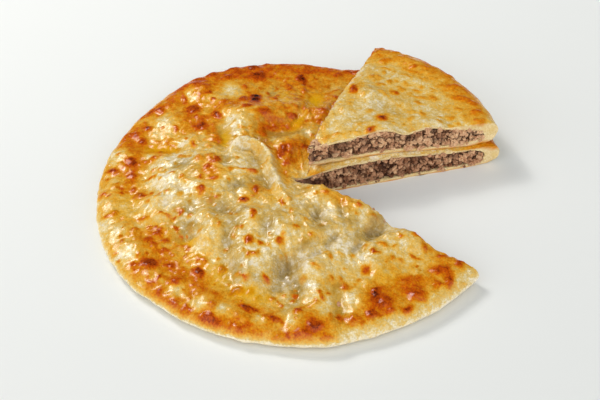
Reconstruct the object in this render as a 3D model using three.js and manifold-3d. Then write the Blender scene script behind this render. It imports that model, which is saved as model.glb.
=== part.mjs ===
// Round flat pie of thin dough filled with minced meat, cut into wedges.
// Most of the pie is in one piece, one wedge still lies in its place, and the
// wedge from the open sector rests on top of that one.
// Millimetres, +Z up. The origin is the centre of the round pie on its flat underside,
// +X runs into the open sector, and angles count from +X towards +Y.
import * as THREE from 'three';
import Module from 'manifold-3d';
import { mergeVertices } from 'three/addons/utils/BufferGeometryUtils.js';

const wasm = await Module();
wasm.setup();

// Driving sizes of the pie
const PIE_RADIUS = 161.5;
const RIM_THICKNESS = 13; // where nothing swells it
const MOUND_THICKNESS = 26; // over the filling
const MOUND_SHOULDER = 62; // radius where the mound starts to fall
const MOUND_FOOT = 136; // radius where it meets the rim
const VENT_DIP = 6; // the top sinks round the middle, where steam was let out
const VENT_RADIUS = 20;
const DOUGH = 3; // one layer
const RIM_WIDTH = 13; // of bare dough outside the filling
const CLEARANCE = 0.3; // between filling and dough

// Cuts: the corner of the open sector, and the wedge that still lies in its place
const SECTOR_START = -36.5; // degrees
const SECTOR_END = 12.3;
const SLICE_END = 66.5;
const SLICE_TIP = [2, -1];
const CORNER_SETBACK = 12; // from the wedge's tip back to the sector's corner
const KERF = 0.8;

// The wedge on top
const UPPER_TIP = [5, 4];
const UPPER_START = 11.4;
const UPPER_END = 66.5;
const UPPER_RADIUS = 158;
const UPPER_THICKNESS = 21.5;
const UPPER_GAP = 0.5;

// How closely the outline's swells keep to the rim, as powers of the radius
const OUTLINE_FADE = 4;
const THICKNESS_FADE = 2;

// Upright prisms that cut the sectors
const PRISM_REACH = 260;
const PRISM_HEIGHT = 100;
const PRISM_BOTTOM = -20;

// Mesh density
const MERGE_DISTANCE = 1e-3;
const TURN_STEPS = 64;
const TOP_RINGS = [134, 124, 114, 104, 94, 84, 74, 64, 54, 43, 31, 18];
const FLAT_RINGS = [70, 125, 134];
const FILLING_RINGS = [124, 114, 104, 94, 84, 74, 64, 54, 43, 31, 18];
const FLAT_FILLING_RINGS = [70, 124];

// Where the rim swells or dents: degrees round the pie, and mm in radius and thickness.
// The second list is the outline of the wedge on top.
const RIM_SWELLS = [
  { at: 15, spread: 70, radius: -1.5, thickness: 6.5 },
  { at: 121, spread: 18, radius: 3.5, thickness: 4 },
  { at: 78, spread: 11, radius: -6, thickness: -3 },
  { at: -87, spread: 7, radius: 2.5, thickness: 1.5 },
  { at: -131, spread: 9, radius: -2, thickness: -1 },
  { at: 180, spread: 14, radius: -1.5, thickness: 0 },
];
const UPPER_SWELLS = [
  { at: 52, spread: 26, radius: 3, thickness: 3 },
];

// Folds, lumps and hollows of the thin top dough over the filling: centre, half length,
// half width, turn in degrees, and how far they rise or sink
const FOLDS = [
  { name: 'middle fold, upper part', x: -42, y: 42, length: 24, width: 10, turn: -20, rise: 4 },
  { name: 'middle fold, lower part', x: -20, y: 8, length: 26, width: 10, turn: 100, rise: 4 },
  { name: 'left mound', x: -85, y: 20, length: 30, width: 18, turn: 20, rise: 4 },
  { name: 'left pleat', x: -106, y: -24, length: 22, width: 9, turn: 20, rise: 4 },
  { name: 'mound beside the middle', x: -55, y: -12, length: 24, width: 18, turn: -30, rise: 3 },
  { name: 'front mound', x: -12, y: -58, length: 26, width: 20, turn: 40, rise: 4 },
  { name: 'inner lump at the cut', x: 14, y: -22, length: 18, width: 12, turn: -36, rise: 4 },
  { name: 'middle lump at the cut', x: 44, y: -42, length: 20, width: 16, turn: -36, rise: 5 },
  { name: 'crease at the cut', x: 60, y: -62, length: 22, width: 9, turn: 15, rise: -6 },
  { name: 'outer lump at the cut', x: 77, y: -70, length: 16, width: 14, turn: -36, rise: 4 },
  { name: 'front panel', x: 8, y: -105, length: 34, width: 18, turn: 75, rise: 3 },
  { name: 'front valley', x: -18, y: -105, length: 26, width: 9, turn: 70, rise: -4 },
  { name: 'left hollow', x: -90, y: -66, length: 16, width: 12, turn: 0, rise: -4 },
  { name: 'left shoulder', x: -70, y: -62, length: 20, width: 12, turn: 30, rise: 3 },
  { name: 'back mound', x: -38, y: 80, length: 26, width: 16, turn: 0, rise: 3 },
  { name: 'back hollow', x: 12, y: 95, length: 18, width: 13, turn: 0, rise: -4 },
  { name: 'back crease', x: -20, y: 60, length: 24, width: 9, turn: 20, rise: -4 },
];

// Lumps of the wedge on top
const UPPER_FOLDS = [
  { name: 'tip', x: 14, y: 10, length: 14, width: 12, turn: 40, rise: 2 },
  { name: 'high lump at the cut', x: 62, y: 19, length: 13, width: 13, turn: 0, rise: 4.5 },
  { name: 'dip at the cut', x: 83, y: 20, length: 9, width: 12, turn: 100, rise: -2.5 },
  { name: 'outer lump at the cut', x: 103, y: 26, length: 14, width: 14, turn: 0, rise: 2.5 },
  { name: 'far lump', x: 58, y: 92, length: 20, width: 16, turn: 60, rise: 2 },
  { name: 'flat middle', x: 68, y: 62, length: 26, width: 20, turn: 45, rise: -1.5 },
];

// Round the edge of the dough, then of the filling: how far in from the outermost circle,
// and level from 0 at the underside to 1 at the top
const RIM_LEVELS = [
  { inset: 13, level: 0.03 },
  { inset: 5, level: 0.14 },
  { inset: 1, level: 0.33 },
  { inset: 0, level: 0.52 },
  { inset: 1.8, level: 0.75 },
  { inset: 7, level: 0.93 },
  { inset: 15, level: 1 },
];
const EDGE_LEVELS = [
  { inset: 6, level: 0.2 },
  { inset: 0, level: 0.5 },
  { inset: 6, level: 0.8 },
];

const radians = THREE.MathUtils.degToRad;

function bell(distance) {
  return Math.exp(-distance * distance);
}

function rimSwell(swells, x, y, key) {
  const angle = THREE.MathUtils.radToDeg(Math.atan2(y, x));
  let sum = 0;
  for (const swell of swells) {
    const off = THREE.MathUtils.euclideanModulo(angle - swell.at + 180, 360) - 180;
    sum += swell[key] * bell(off / swell.spread);
  }
  return sum;
}

function foldRise(folds, x, y) {
  let sum = 0;
  for (const fold of folds) {
    const turn = radians(fold.turn);
    const along = (x - fold.x) * Math.cos(turn) + (y - fold.y) * Math.sin(turn);
    const across = (y - fold.y) * Math.cos(turn) - (x - fold.x) * Math.sin(turn);
    sum += fold.rise * bell(Math.hypot(along / fold.length, across / fold.width));
  }
  return sum;
}

// Height of the pie's top above its underside, before the dip round the vent
function moundTop(x, y) {
  const rim = RIM_THICKNESS + rimSwell(RIM_SWELLS, x, y, 'thickness');
  const mound = 1 - THREE.MathUtils.smoothstep(Math.hypot(x, y), MOUND_SHOULDER, MOUND_FOOT);
  return THREE.MathUtils.lerp(rim, MOUND_THICKNESS, mound) + foldRise(FOLDS, x, y);
}

function pieTop(x, y) {
  return moundTop(x, y) - VENT_DIP * bell(Math.hypot(x, y) / VENT_RADIUS);
}

// The wedge on top bridges the dip
function upperBase(x, y) {
  return moundTop(x, y) + UPPER_GAP;
}

function upperTop(x, y) {
  const share = (Math.hypot(x, y) / PIE_RADIUS) ** THICKNESS_FADE;
  const swell = share * rimSwell(UPPER_SWELLS, x, y, 'thickness');
  return upperBase(x, y) + UPPER_THICKNESS + swell + foldRise(UPPER_FOLDS, x, y);
}

function closedProfile(lowRings, edge, topRings) {
  const low = lowRings.map((ring) => [ring, 0]);
  const top = topRings.map((ring) => [ring, 1]);
  return [[0, 0], ...low, ...edge, ...top, [0, 1]];
}

function crustProfile(radius, lowRings) {
  const edge = RIM_LEVELS.map(({ inset, level }) => [radius - inset, level]);
  return closedProfile(lowRings, edge, TOP_RINGS);
}

// The filling thins to a blunt edge inside the rim
function fillingProfile(radius, lowRings) {
  const edge = EDGE_LEVELS.map(({ inset, level }) => [radius - inset, level]);
  return closedProfile(lowRings, edge, FILLING_RINGS);
}

function solidOf(geometry) {
  geometry.deleteAttribute('normal');
  geometry.deleteAttribute('uv');
  const merged = mergeVertices(geometry, MERGE_DISTANCE);
  const index = merged.index.array;
  const corners = [];
  for (let i = 0; i < index.length; i += 3) {
    const [a, b, c] = [index[i], index[i + 1], index[i + 2]];
    if (a !== b && b !== c && c !== a) {
      corners.push(a, b, c);
    }
  }
  return new wasm.Manifold(new wasm.Mesh({
    numProp: 3,
    vertProperties: new Float32Array(merged.attributes.position.array),
    triVerts: new Uint32Array(corners),
  }));
}

// A turned solid between two height functions, its outline swelled as named
function turnedSolid(profile, { bottom, top, swells }, layer) {
  const outline = profile.map(([radius, level]) => new THREE.Vector2(radius, level));
  const geometry = new THREE.LatheGeometry(outline, TURN_STEPS);
  geometry.rotateX(Math.PI / 2);
  const position = geometry.attributes.position;
  for (let i = 0; i < position.count; i += 1) {
    const x = position.getX(i);
    const y = position.getY(i);
    const level = position.getZ(i);
    const z = THREE.MathUtils.lerp(bottom(x, y) + layer, top(x, y) - layer, level);
    const share = (Math.hypot(x, y) / PIE_RADIUS) ** OUTLINE_FADE;
    const stretch = 1 + (share * rimSwell(swells, x, y, 'radius')) / PIE_RADIUS;
    position.setXYZ(i, x * stretch, y * stretch, z);
  }
  return solidOf(geometry);
}

function pointFrom(start, degrees, distance) {
  const turn = radians(degrees);
  return [start[0] + Math.cos(turn) * distance, start[1] + Math.sin(turn) * distance];
}

// An upright prism over the sector from one angle to the other
function sectorPrism(tip, from, to) {
  const shape = new THREE.Shape();
  shape.moveTo(...tip);
  shape.lineTo(...pointFrom(tip, from, PRISM_REACH));
  shape.lineTo(...pointFrom(tip, (from + to) / 2, PRISM_REACH));
  shape.lineTo(...pointFrom(tip, to, PRISM_REACH));
  const options = { depth: PRISM_HEIGHT, bevelEnabled: false };
  const geometry = new THREE.ExtrudeGeometry(shape, options);
  geometry.translate(0, 0, PRISM_BOTTOM);
  return solidOf(geometry);
}

// The same sector widened by a distance on both sides
function widenedPrism(tip, from, to, distance) {
  const back = distance / Math.sin(radians((to - from) / 2));
  return sectorPrism(pointFrom(tip, (from + to) / 2, -back), from, to);
}

function meshOf(name, solid, material) {
  const { vertProperties, triVerts } = solid.getMesh();
  const geometry = new THREE.BufferGeometry();
  geometry.setAttribute('position', new THREE.BufferAttribute(vertProperties, 3));
  geometry.setIndex(new THREE.BufferAttribute(triVerts, 1));
  geometry.computeVertexNormals();
  const mesh = new THREE.Mesh(geometry, material);
  mesh.name = name;
  return mesh;
}

// The dough and the filling of a whole round. The hollow and the filling are the same turned
// shape, a layer of dough inside the body, and the filling is smaller by the clearance.
function filledRound(round) {
  const body = turnedSolid(crustProfile(round.radius, round.lowRings), round, 0);
  const reach = round.radius - RIM_WIDTH;
  const hollow = fillingProfile(reach, round.lowFillingRings);
  const fill = fillingProfile(reach - CLEARANCE, round.lowFillingRings);
  return {
    dough: body.subtract(turnedSolid(hollow, round, DOUGH)),
    filling: turnedSolid(fill, round, DOUGH + CLEARANCE),
  };
}

const crustMaterial = new THREE.MeshStandardMaterial({
  color: new THREE.Color('#dba348'), roughness: 0.35, metalness: 0,
});
const paleCrustMaterial = new THREE.MeshStandardMaterial({
  color: new THREE.Color('#e2c477'), roughness: 0.45, metalness: 0,
});
const fillingMaterial = new THREE.MeshStandardMaterial({
  color: new THREE.Color('#8f7468'), roughness: 0.75, metalness: 0,
});

const sectorCorner = pointFrom(SLICE_TIP, SECTOR_END, -CORNER_SETBACK);
const openSector = sectorPrism(sectorCorner, SECTOR_START, SECTOR_END);
const sliceRoom = widenedPrism(SLICE_TIP, SECTOR_END, SLICE_END, KERF);
const sliceSector = sectorPrism(SLICE_TIP, SECTOR_END, SLICE_END);
const upperSector = sectorPrism(UPPER_TIP, UPPER_START, UPPER_END);

const pie = filledRound({
  radius: PIE_RADIUS,
  swells: RIM_SWELLS,
  bottom: () => 0,
  top: pieTop,
  lowRings: FLAT_RINGS,
  lowFillingRings: FLAT_FILLING_RINGS,
});
const upper = filledRound({
  radius: UPPER_RADIUS,
  swells: UPPER_SWELLS,
  bottom: upperBase,
  top: upperTop,
  lowRings: TOP_RINGS.toReversed(),
  lowFillingRings: FILLING_RINGS.toReversed(),
});

const pieGroup = new THREE.Group();
pieGroup.add(
  meshOf('main_crust', pie.dough.subtract(openSector).subtract(sliceRoom), crustMaterial),
  meshOf('main_filling', pie.filling.subtract(openSector).subtract(sliceRoom), fillingMaterial),
  meshOf('lower_slice_crust', pie.dough.intersect(sliceSector), paleCrustMaterial),
  meshOf('lower_slice_filling', pie.filling.intersect(sliceSector), fillingMaterial),
  meshOf('upper_slice_crust', upper.dough.intersect(upperSector), paleCrustMaterial),
  meshOf('upper_slice_filling', upper.filling.intersect(upperSector), fillingMaterial),
);

export default pieGroup;
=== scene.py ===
"""A cut meat pie: the main part, a wedge in its place and a wedge resting on it.

Sizes in this file are millimetres and become metres when a mesh is put in place. The origin is
the centre of the round pie on its flat underside, and angles count from +X towards +Y.
"""

import math
from collections import namedtuple

import bmesh
import bpy
import numpy as np
from mathutils import Matrix, Vector, noise


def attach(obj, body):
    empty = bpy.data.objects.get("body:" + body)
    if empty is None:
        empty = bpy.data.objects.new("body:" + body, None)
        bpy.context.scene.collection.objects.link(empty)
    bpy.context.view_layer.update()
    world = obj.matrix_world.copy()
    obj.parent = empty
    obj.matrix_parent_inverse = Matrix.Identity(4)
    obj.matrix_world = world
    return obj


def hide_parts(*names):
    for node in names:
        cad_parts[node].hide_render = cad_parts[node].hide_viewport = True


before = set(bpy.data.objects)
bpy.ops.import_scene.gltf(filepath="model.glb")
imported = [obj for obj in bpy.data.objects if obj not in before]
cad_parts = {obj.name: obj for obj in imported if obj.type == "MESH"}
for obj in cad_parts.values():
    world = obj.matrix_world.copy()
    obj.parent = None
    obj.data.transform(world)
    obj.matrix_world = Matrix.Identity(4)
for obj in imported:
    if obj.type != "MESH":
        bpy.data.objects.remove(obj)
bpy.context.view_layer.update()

bl_info = {
    "name": "Cut Meat Pie",
    "version": (1, 0, 0),
    "blender": (4, 5, 0),
    "location": "3D View > Sidebar > Pie",
    "description": "Builds a round meat pie cut into wedges, with its browned crust and minced filling",
    "category": "Add Mesh",
}

MM = 0.001

# Shapes on the plan: the middle, half length, half width, and the turn of the length in degrees
Fold = namedtuple("Fold", "x y length width turn rise lean", defaults=(0.0,))
Spot = namedtuple("Spot", "x y length width amount turn", defaults=(0,))
# What changes round the pie, at a number of degrees from +X
Swell = namedtuple("Swell", "at spread radius thickness")
Band = namedtuple("Band", "at start inner rim")
# A wedge: its corner, first heading, sweep in degrees, the tail of its first cut beyond the corner
# and which of its two cuts stand open
Wedge = namedtuple("Wedge", "corner start sweep tail open")
Lens = namedtuple("Lens", "reach taper lean")
Cut = namedtuple("Cut", "point heading open")
Part = namedtuple("Part", "name slot wedge radius swells bottom top skin lens ring_step crust_steps "
                          "crust_strips filling_steps filling_strips pull faces seed bare_tip",
                  defaults=(False,))

# Rings of the body: where the mound over the filling starts and ends, and the vent's dip
MOUND_SHOULDER = 62.0
MOUND_FOOT = 136.0
VENT_DIP = 6.0
VENT_RADIUS = 20.0
RIM_TOP_WIDTH = 15.0
RIM_FOOT_WIDTH = 13.0
OUTLINE_FADE = 4
THICKNESS_FADE = 2

# The cuts
SECTOR_START = -36.5
SLICE_START = 12.3
SLICE_END = 66.5
SLICE_TIP = (2.0, -1.0)
CORNER_SETBACK = 12.0
SEEN_KERF = 0.12
UPPER_TIP = (5.0, 4.0)
UPPER_START = 11.4
UPPER_RADIUS = 158.0
UPPER_GAP = 0.5

# How far the filling reaches under the rim, over what width it thins, and where its edge lies
# between its underside, 0, and its top, 1
MAIN_LENS = Lens(148.5, 14, 0.5)
UPPER_LENS = Lens(147.0, 42, 0.3)


def folds_along(points, width, rise, lean=0.0):
    """Folds laid end to end along a line."""
    folds = []
    for (x, y), (next_x, next_y) in zip(points, points[1:]):
        run = math.hypot(next_x - x, next_y - y)
        turn = math.degrees(math.atan2(next_y - y, next_x - x))
        folds.append(Fold((x + next_x) / 2, (y + next_y) / 2, 0.6 * run, width, turn, rise, lean))
    return folds


def spots_along(points, width, amount):
    """Marks of one tone laid end to end along a line."""
    return [Spot(fold.x, fold.y, fold.length, width, amount, fold.turn)
            for fold in folds_along(points, width, 0.0)]


# ---------------------------------------------------------------- what shows on the crust

# The pale curl of dough that winds from the left of the middle to the cut
CURL = [(-57, 25), (-51, 33), (-42, 35), (-33, 30), (-27, 20), (-24, 6), (-20, -10), (-16, -26), (-11, -38)]
CURL_FRONT = [(-50, 25), (-42, 27), (-36, 22), (-32, 8), (-28, -8), (-24, -24)]
CURL_BACK = [(-55, 40), (-42, 43), (-29, 38), (-20, 26), (-17, 8), (-13, -8)]

# The rim in front on the right, which stayed pale
PALE_RIM = [(16, -159), (46, -152), (76, -139), (102, -120), (125, -96)]

# How far the outline and the thickness stand out or back round the rim
RIM_SWELLS = [Swell(*row) for row in (
    (15, 70, -1.5, 6.5), (121, 18, 3.5, 4), (78, 11, -6, -3), (-87, 7, 2.5, 1.5), (-131, 9, -2, -1),
    (180, 14, -1.5, 0),
)]
UPPER_SWELLS = [Swell(*row) for row in (
    (52, 26, 3, 3),
)]

# Large folds, lumps and hollows of the top dough, which its underside and the filling follow
FOLDS = [Fold(*row) for row in (
    (-42, 40, 24, 12, -20, 1.4), (-20, 8, 26, 11, 100, 1.6), (-85, 20, 30, 18, 20, 4),
    (-106, -24, 22, 9, 20, 4), (-55, -12, 24, 18, -30, 3), (-12, -58, 26, 20, 40, 4),
    (14, -22, 18, 12, -36, 4), (44, -42, 20, 16, -36, 5), (60, -62, 22, 9, 15, -6),
    (77, -70, 16, 14, -36, 4), (8, -105, 34, 18, 75, 3), (-18, -105, 26, 9, 70, -4),
    (-90, -66, 16, 12, 0, -4), (-70, -62, 20, 12, 30, 3), (-38, 80, 26, 16, 0, 3),
    (12, 95, 18, 13, 0, -4), (-20, 60, 24, 9, 20, -4),
)]
UPPER_FOLDS = [Fold(*row) for row in (
    (14, 10, 16, 14, 40, -1.4), (62, 19, 13, 13, 0, 4.5), (83, 20, 9, 12, 100, -2.5),
    (103, 26, 14, 14, 0, 2.5), (58, 92, 20, 16, 60, 2), (68, 62, 26, 20, 45, -1.5),
)]

# Finer pleats and creases of the skin. A lean steepens the side left of the fold's direction.
PLEATS = [Fold(*row) for row in (
    # the curled fold in the middle and the hollow behind it
    *folds_along(CURL, 3.7, 3.4, 0.2), *folds_along(CURL_FRONT, 3.4, -2.2),
    *folds_along(CURL_BACK, 3.6, -2.4), (-35, -8, 16, 6, -68, -2.4), (-18, 50, 17, 10, 8, -4.4),
    (0, 72, 15, 4, 65, -2.6), (15, 72, 14, 7, -20, 3.2), (-3, 90, 14, 8, 100, 2),
    (27, 95, 22, 7, 75, 2.6), (-22, 112, 16, 10, 90, -1.8), (-61, 44, 20, 6, 92, -3),
    (-34, 76, 18, 6, -8, 2.2, 0.3), (-8, 24, 20, 12, 60, 3.2, -0.4), (-66, 94, 14, 8, 100, 2, 0.3),
    # left of the middle
    (-110, 43, 20, 7, -20, -2), (-110, 28, 9, 7, 110, 2.4, 0.3), (-93, -10, 8, 3, 110, -1.4),
    (-112, -21, 15, 8, -18, 3.2, -0.4), (-104, -28, 12, 2.6, 24, -2.4), (-106, -36, 9, 2.5, -14, 1.4),
    (-98, 13, 8, 5, 30, -2.6), (-90, -50, 12, 8, -30, -2.6), (-78, -18, 9, 6, 110, 2, 0.35),
    (-52, -16, 10, 6, 20, -2.4), (-73, -46, 8, 3.5, 95, 1.8, 0.4), (-60, -42, 13, 5, -42, -3.2),
    (-39, -54, 11, 8, 120, 3, 0.4), (-86, -60, 11, 4, -14, -2.4), (-68, 10, 10, 7, 30, 1.6),
    (-78, 14, 6, 4, 90, 1.4), (-60, 12, 5, 5, 60, -2), (-43, 0, 10, 3.5, -8, 1.4),
    (-72, -55, 8, 3, 20, 1.6, 0.5), (-56, 18, 9, 9, 40, 2.2, 0.3),
    # the raised sheet in front, its panel and creases
    (-57, -84, 22, 5, 92, -2.6), (-24, -90, 14, 10, 30, 1.4), (-40, -104, 9, 6, 130, 1.8, 0.3),
    (10, -53, 12, 5, 80, -4), (28, -49, 10, 3.2, 95, -2.8), (50, -66, 17, 4.5, 52, -4),
    (38, -81, 9, 3.5, 42, -2.4), (21, -74, 12, 4, 50, -3.2), (3, -89, 13, 4, 18, -3.4),
    (5, -76, 20, 8, 36, 2.8, -0.6), (-14, -97, 10, 7, 60, -4.6), (-8, -114, 16, 5.5, 98, -3.4),
    (-22, -111, 6, 4, 40, -2.4), (21, -132, 25, 5, 97, -3), (-22, -60, 9, 5.5, 96, 2.6, 0.4),
    (-14, -72, 9, 5, 125, 2.2, 0.4), (-30, -66, 10, 4, 92, -2), (-8, -52, 12, 6, 98, 2.4, 0.4),
    (-8, -143, 11, 7, 96, 2, 0.35), (51, -100, 15, 9, 98, 2.4, 0.35), (8, -36, 11, 5, 110, 2.2, 0.4),
    (52, -57, 12, 4, 15, 2, -0.4), (62, -76, 16, 12, 40, 1.6),
    # along the rim
    (-68, -130, 12, 9, 150, 2, 0.3), (-114, -92, 12, 8, 130, 2, 0.3), (-46, -141, 10, 7, 160, 1.8, 0.3),
    (18, -150, 12, 8, 95, 1.6, 0.3), (-148, -20, 14, 8, 100, 1.4, 0.3),
)]

# Stretches that face the window, where the butter gleams: the width of each is that of its slope,
# and its turn that of its crest
GLEAMS = [Fold(*row) for row in (
    (-112, 72, 15, 11, 108, 4.6), (-93, 46, 8, 7, 112, 2.8), (-89, 108, 13, 8, 125, 3),
    (-52, 61, 17, 9, 98, 4.2), (-110, -2, 17, 10, 112, 4.6), (-120, -28, 9, 6, 60, 2.4),
    (-75, -67, 12, 9, 110, 4), (-131, -71, 10, 9, 122, 3.8), (-83, -46, 7, 6, 105, 2.6),
    (-44, -50, 8, 6, 112, 2.8), (-50, -88, 24, 8, 94, 4.2), (-1, -102, 11, 8, 98, 3.6),
    (5, -127, 8, 7, 104, 2.8), (30, -127, 13, 8, 97, 3.6), (20, -51, 11, 6, 100, 3),
    (4, 45, 8, 7, 124, 1.8), (-12, -145, 7, 6, 104, 2.2), (-33, -142, 6, 5, 112, 1.8),
    (-76, -126, 9, 7, 126, 2.6), (-121, 35, 6, 5, 112, 1.8), (-117, 20, 6, 5, 106, 1.8),
    (-142, -50, 10, 8, 112, 2.4), (-57, 112, 10, 7, 110, 2), (-95, -108, 12, 8, 128, 2.6),
    (-24, -8, 13, 5, 112, 2.4), (-148, 36, 10, 8, 104, 2.4), (-60, -132, 7, 6, 126, 1.8),
    (44, -96, 10, 6, 104, 2), (-54, 31, 8, 6, 120, 2.2), (10, -31, 7, 5, 112, 1.8),
)]
UPPER_GLEAMS = [Fold(*row) for row in (
    (52, 64, 10, 7, 112, 2.2), (70, 55, 8, 7, 108, 1.8), (38, 76, 5, 4, 112, 1.2),
    (90, 106, 5, 4, 112, 1.2), (30, 44, 8, 5, 108, 1.2), (82, 84, 8, 6, 118, 1.2),
)]
UPPER_PLEATS = [Fold(*row) for row in (
    (52, 62, 14, 9, 115, 2, 0.35), (66, 52, 12, 8, 30, -1.8), (30, 22, 10, 6, 60, 1.2, 0.4),
    (76, 17, 7, 6, 20, -1.6), (90, 24, 8, 7, 70, 1.8, 0.3), (46, 12, 10, 4, 10, 1.2),
    (112, 30, 10, 7, 80, -1.2), (82, 52, 14, 5, 150, 1, 0.4), (74, 86, 16, 8, 60, 1, 0.4),
    (100, 78, 14, 5, 130, 0.9), (124, 44, 10, 5, 70, 1, 0.3), (88, 112, 12, 6, 150, 1),
    (70, 36, 8, 6, 110, 1.2, 0.3), (38, 50, 12, 6, 60, 1.2, 0.3),
)]

# Blisters and scorched spots, which are brown by their amount, from 0 to 1
SPOTS = [Spot(*row) for row in (
    # back and left
    (-37, 98, 9, 5.5, 1, 100), (-47, 97, 5, 3, 0.8, 80), (-35, 136, 8, 7, 0.84), (-60, 131, 5, 4, 0.74),
    (-57, 148, 6, 5, 0.85, 20), (-46, 116, 5, 2.5, 0.74, 110), (-22, 97, 5, 3, 0.76, 120),
    (-27, 108, 5, 1.5, 0.7, 110), (-43, 78, 5, 3.5, 0.78), (-28, 71, 5, 2.5, 0.74),
    (-68, 79, 8, 3, 0.84, 105), (-80, 64, 7, 4.5, 0.8, 110), (-88, 91, 7, 5.5, 0.8, 120),
    (-96, 103, 5, 2.5, 0.7, 100), (-82, 106, 4, 2.5, 0.66, 100), (-101, 66, 4, 2.2, 0.74, 100),
    (-116, 94, 4.5, 3.5, 0.8), (-110, 108, 3, 2, 0.7), (-124, 71, 4.5, 3.5, 0.82, -30),
    (-128, 56, 4.5, 3, 0.78, -50), (-136, 66, 4, 3.5, 0.76), (-144, 74, 4, 3, 0.82, 60),
    (-132, 91, 4, 3, 0.82, 40), (-88, 133, 7, 4, 0.76, 30), (-74, 137, 5, 4, 0.74),
    (-65, 42, 6, 3, 0.68, 100), (-85, 38, 5.5, 2.5, 0.7, 105), (-105, 44, 3, 2.5, 0.7, 60),
    (-150, 22, 5.5, 3.5, 0.84, -35), (-136, 30, 6, 4, 0.84, 110), (-134, 14, 4, 3.5, 0.82),
    (-118, 31, 3, 2.2, 0.68), (-31, 52, 8, 4, 0.7, 100), (-24, 59, 7, 3, 0.72, 10),
    (-119, 7, 4, 2, 0.7), (-131, -3, 3.5, 2, 0.74), (-127, -11, 4, 3.5, 0.82),
    (-117, -12, 2.5, 3.5, 0.66), (-144, -28, 4, 3, 0.66), (-150, -30, 2.5, 2, 0.66),
    (-157, -6, 3, 2.5, 0.6), (-146, 5, 4, 1.5, 0.55), (2, 131, 8, 4.5, 0.88, 95),
    (-9, 118, 7, 3.5, 0.62, 100), (4, 112, 6, 3, 0.6, 80), (-12, 130, 4, 2.5, 0.62, 60),
    (34, 139, 4.5, 3, 0.76), (23, 121, 3, 2.5, 0.62), (-38, 148, 6, 4, 0.84), (-7, 71, 4, 3, 0.74),
    (-14, 78, 5, 2, 0.6, -10), (2, 80, 3.5, 1.8, 0.6, 90), (17, 70, 6.5, 3, 0.66, -15),
    (15, 57, 4, 2.5, 0.66, 20), (5, 61, 2.5, 1.5, 0.62), (30, 98, 3, 4, 0.7), (29, 86, 4, 2, 0.66, 70),
    (-15, 22, 6, 4, 0.8, 60), (3, 27, 4, 3, 0.74), (-27, 27, 4, 2, 0.7, -40),
    (-12, 10, 5, 2.5, 0.66, 60), (8, 41, 2, 1.6, 0.6), (50, 143, 7, 4, 0.78, 20),
    # middle and left front
    (-78, -19, 3, 5, 0.78, 20), (-67, 12, 4.5, 3.5, 0.76, 30), (-73, 5, 4, 2.5, 0.76, 10),
    (-78, -4, 2.2, 3.5, 0.66, 20), (-69, -8, 4, 2, 0.74), (-80, 15, 4, 3, 0.55),
    (-93, -2, 3, 2, 0.55, -20), (-122, -38, 5, 2, 0.66, 10), (-103, -38, 5, 1.6, 0.7, -30),
    (-127, -48, 3.2, 2.2, 0.68), (-116, -46, 2.6, 2.4, 0.6), (-109, -53, 4, 2.8, 0.78, -10),
    (-116, -60, 4, 3.2, 0.74), (-103, -60, 4, 2.6, 0.7), (-104, -71, 4.5, 2.6, 0.7),
    (-90, -66, 6, 2, 0.64, -15), (-115, -83, 6, 5, 0.9), (-125, -83, 3.2, 3, 0.78),
    (-98, -87, 3.5, 2.6, 0.78, -20), (-95, -103, 5.5, 4.5, 0.78), (-78, -95, 4.6, 4, 0.86),
    (-60, -94, 3, 3.8, 0.74), (-106, -112, 3, 3, 0.78), (-49, -116, 4, 3.5, 0.82),
    (-41, -76, 4, 3.8, 0.78), (-33, -79, 3.4, 2, 0.68, -20), (-47, -63, 2.4, 2, 0.6),
    (-39, -89, 3.6, 2.6, 0.68, 20), (-18, -78, 3.4, 2.8, 0.68), (-29, -107, 2.4, 2.4, 0.68),
    (-25, -122, 3.2, 2.6, 0.7), (-45, -33, 4, 3.4, 0.82), (-36, -21, 2.8, 5, 0.82, -10),
    (-39, -1, 4.2, 2.2, 0.74, -15), (-47, 1, 2.6, 1.6, 0.62), (-38, -53, 2, 5.4, 0.7, 10),
    (-66, -28, 3, 2, 0.58), (-17, -38, 2.4, 3.8, 0.68, 20), (-86, -41, 2.5, 2.2, 0.55),
    (16, -31, 3, 2.4, 0.62), (40, -47, 2.2, 3, 0.66), (10, -127, 2, 3, 0.6),
    # front and right
    (97, -104, 8, 4.6, 0.76, -18), (102, -114, 3.6, 6.5, 0.78, -12), (99, -88, 3.4, 2.4, 0.74),
    (111, -98, 4.2, 3.4, 0.76), (78, -89, 3, 2, 0.7, -30), (82, -74, 2.4, 1.8, 0.55),
    (76, -123, 7, 8, 0.74, 30), (74, -112, 8, 6, 0.66), (49, -124, 4.4, 8, 0.86, -14),
    (53, -131, 7.5, 7, 0.76), (45, -143, 4.2, 3.4, 0.82), (69, -137, 4.4, 3.4, 0.78, 20),
    (58, -140, 4, 3, 0.7), (43, -102, 2.8, 3.2, 0.68), (28, -117, 3.6, 3, 0.66),
    (56, -80, 3.6, 2.4, 0.56, -30), (22, -142, 2.4, 5, 0.78), (32, -146, 6, 4, 0.62),
    (4, -150, 7, 5.5, 0.86, 20), (12, -160, 6, 3.6, 0.66), (-42, -131, 6.4, 2.8, 0.9, -18),
    (-22, -144, 6, 2.2, 0.8, -32), (-6, -138, 2.8, 2.8, 0.8), (-5, -156, 7, 3.4, 0.74),
    (-30, -140, 2.6, 3.2, 0.66), (-48, -148, 7, 4.4, 0.68), (-70, -138, 6, 4, 0.68, -20),
    (-85, -128, 3.6, 3.4, 0.74), (-95, -122, 5.6, 3, 0.72, -20), (-66, -128, 4, 3, 0.62),
    (92, -117, 3, 4, 0.64), (-21, -158, 5, 2.6, 0.62), (-112, -103, 4, 3, 0.68),
)]
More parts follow.
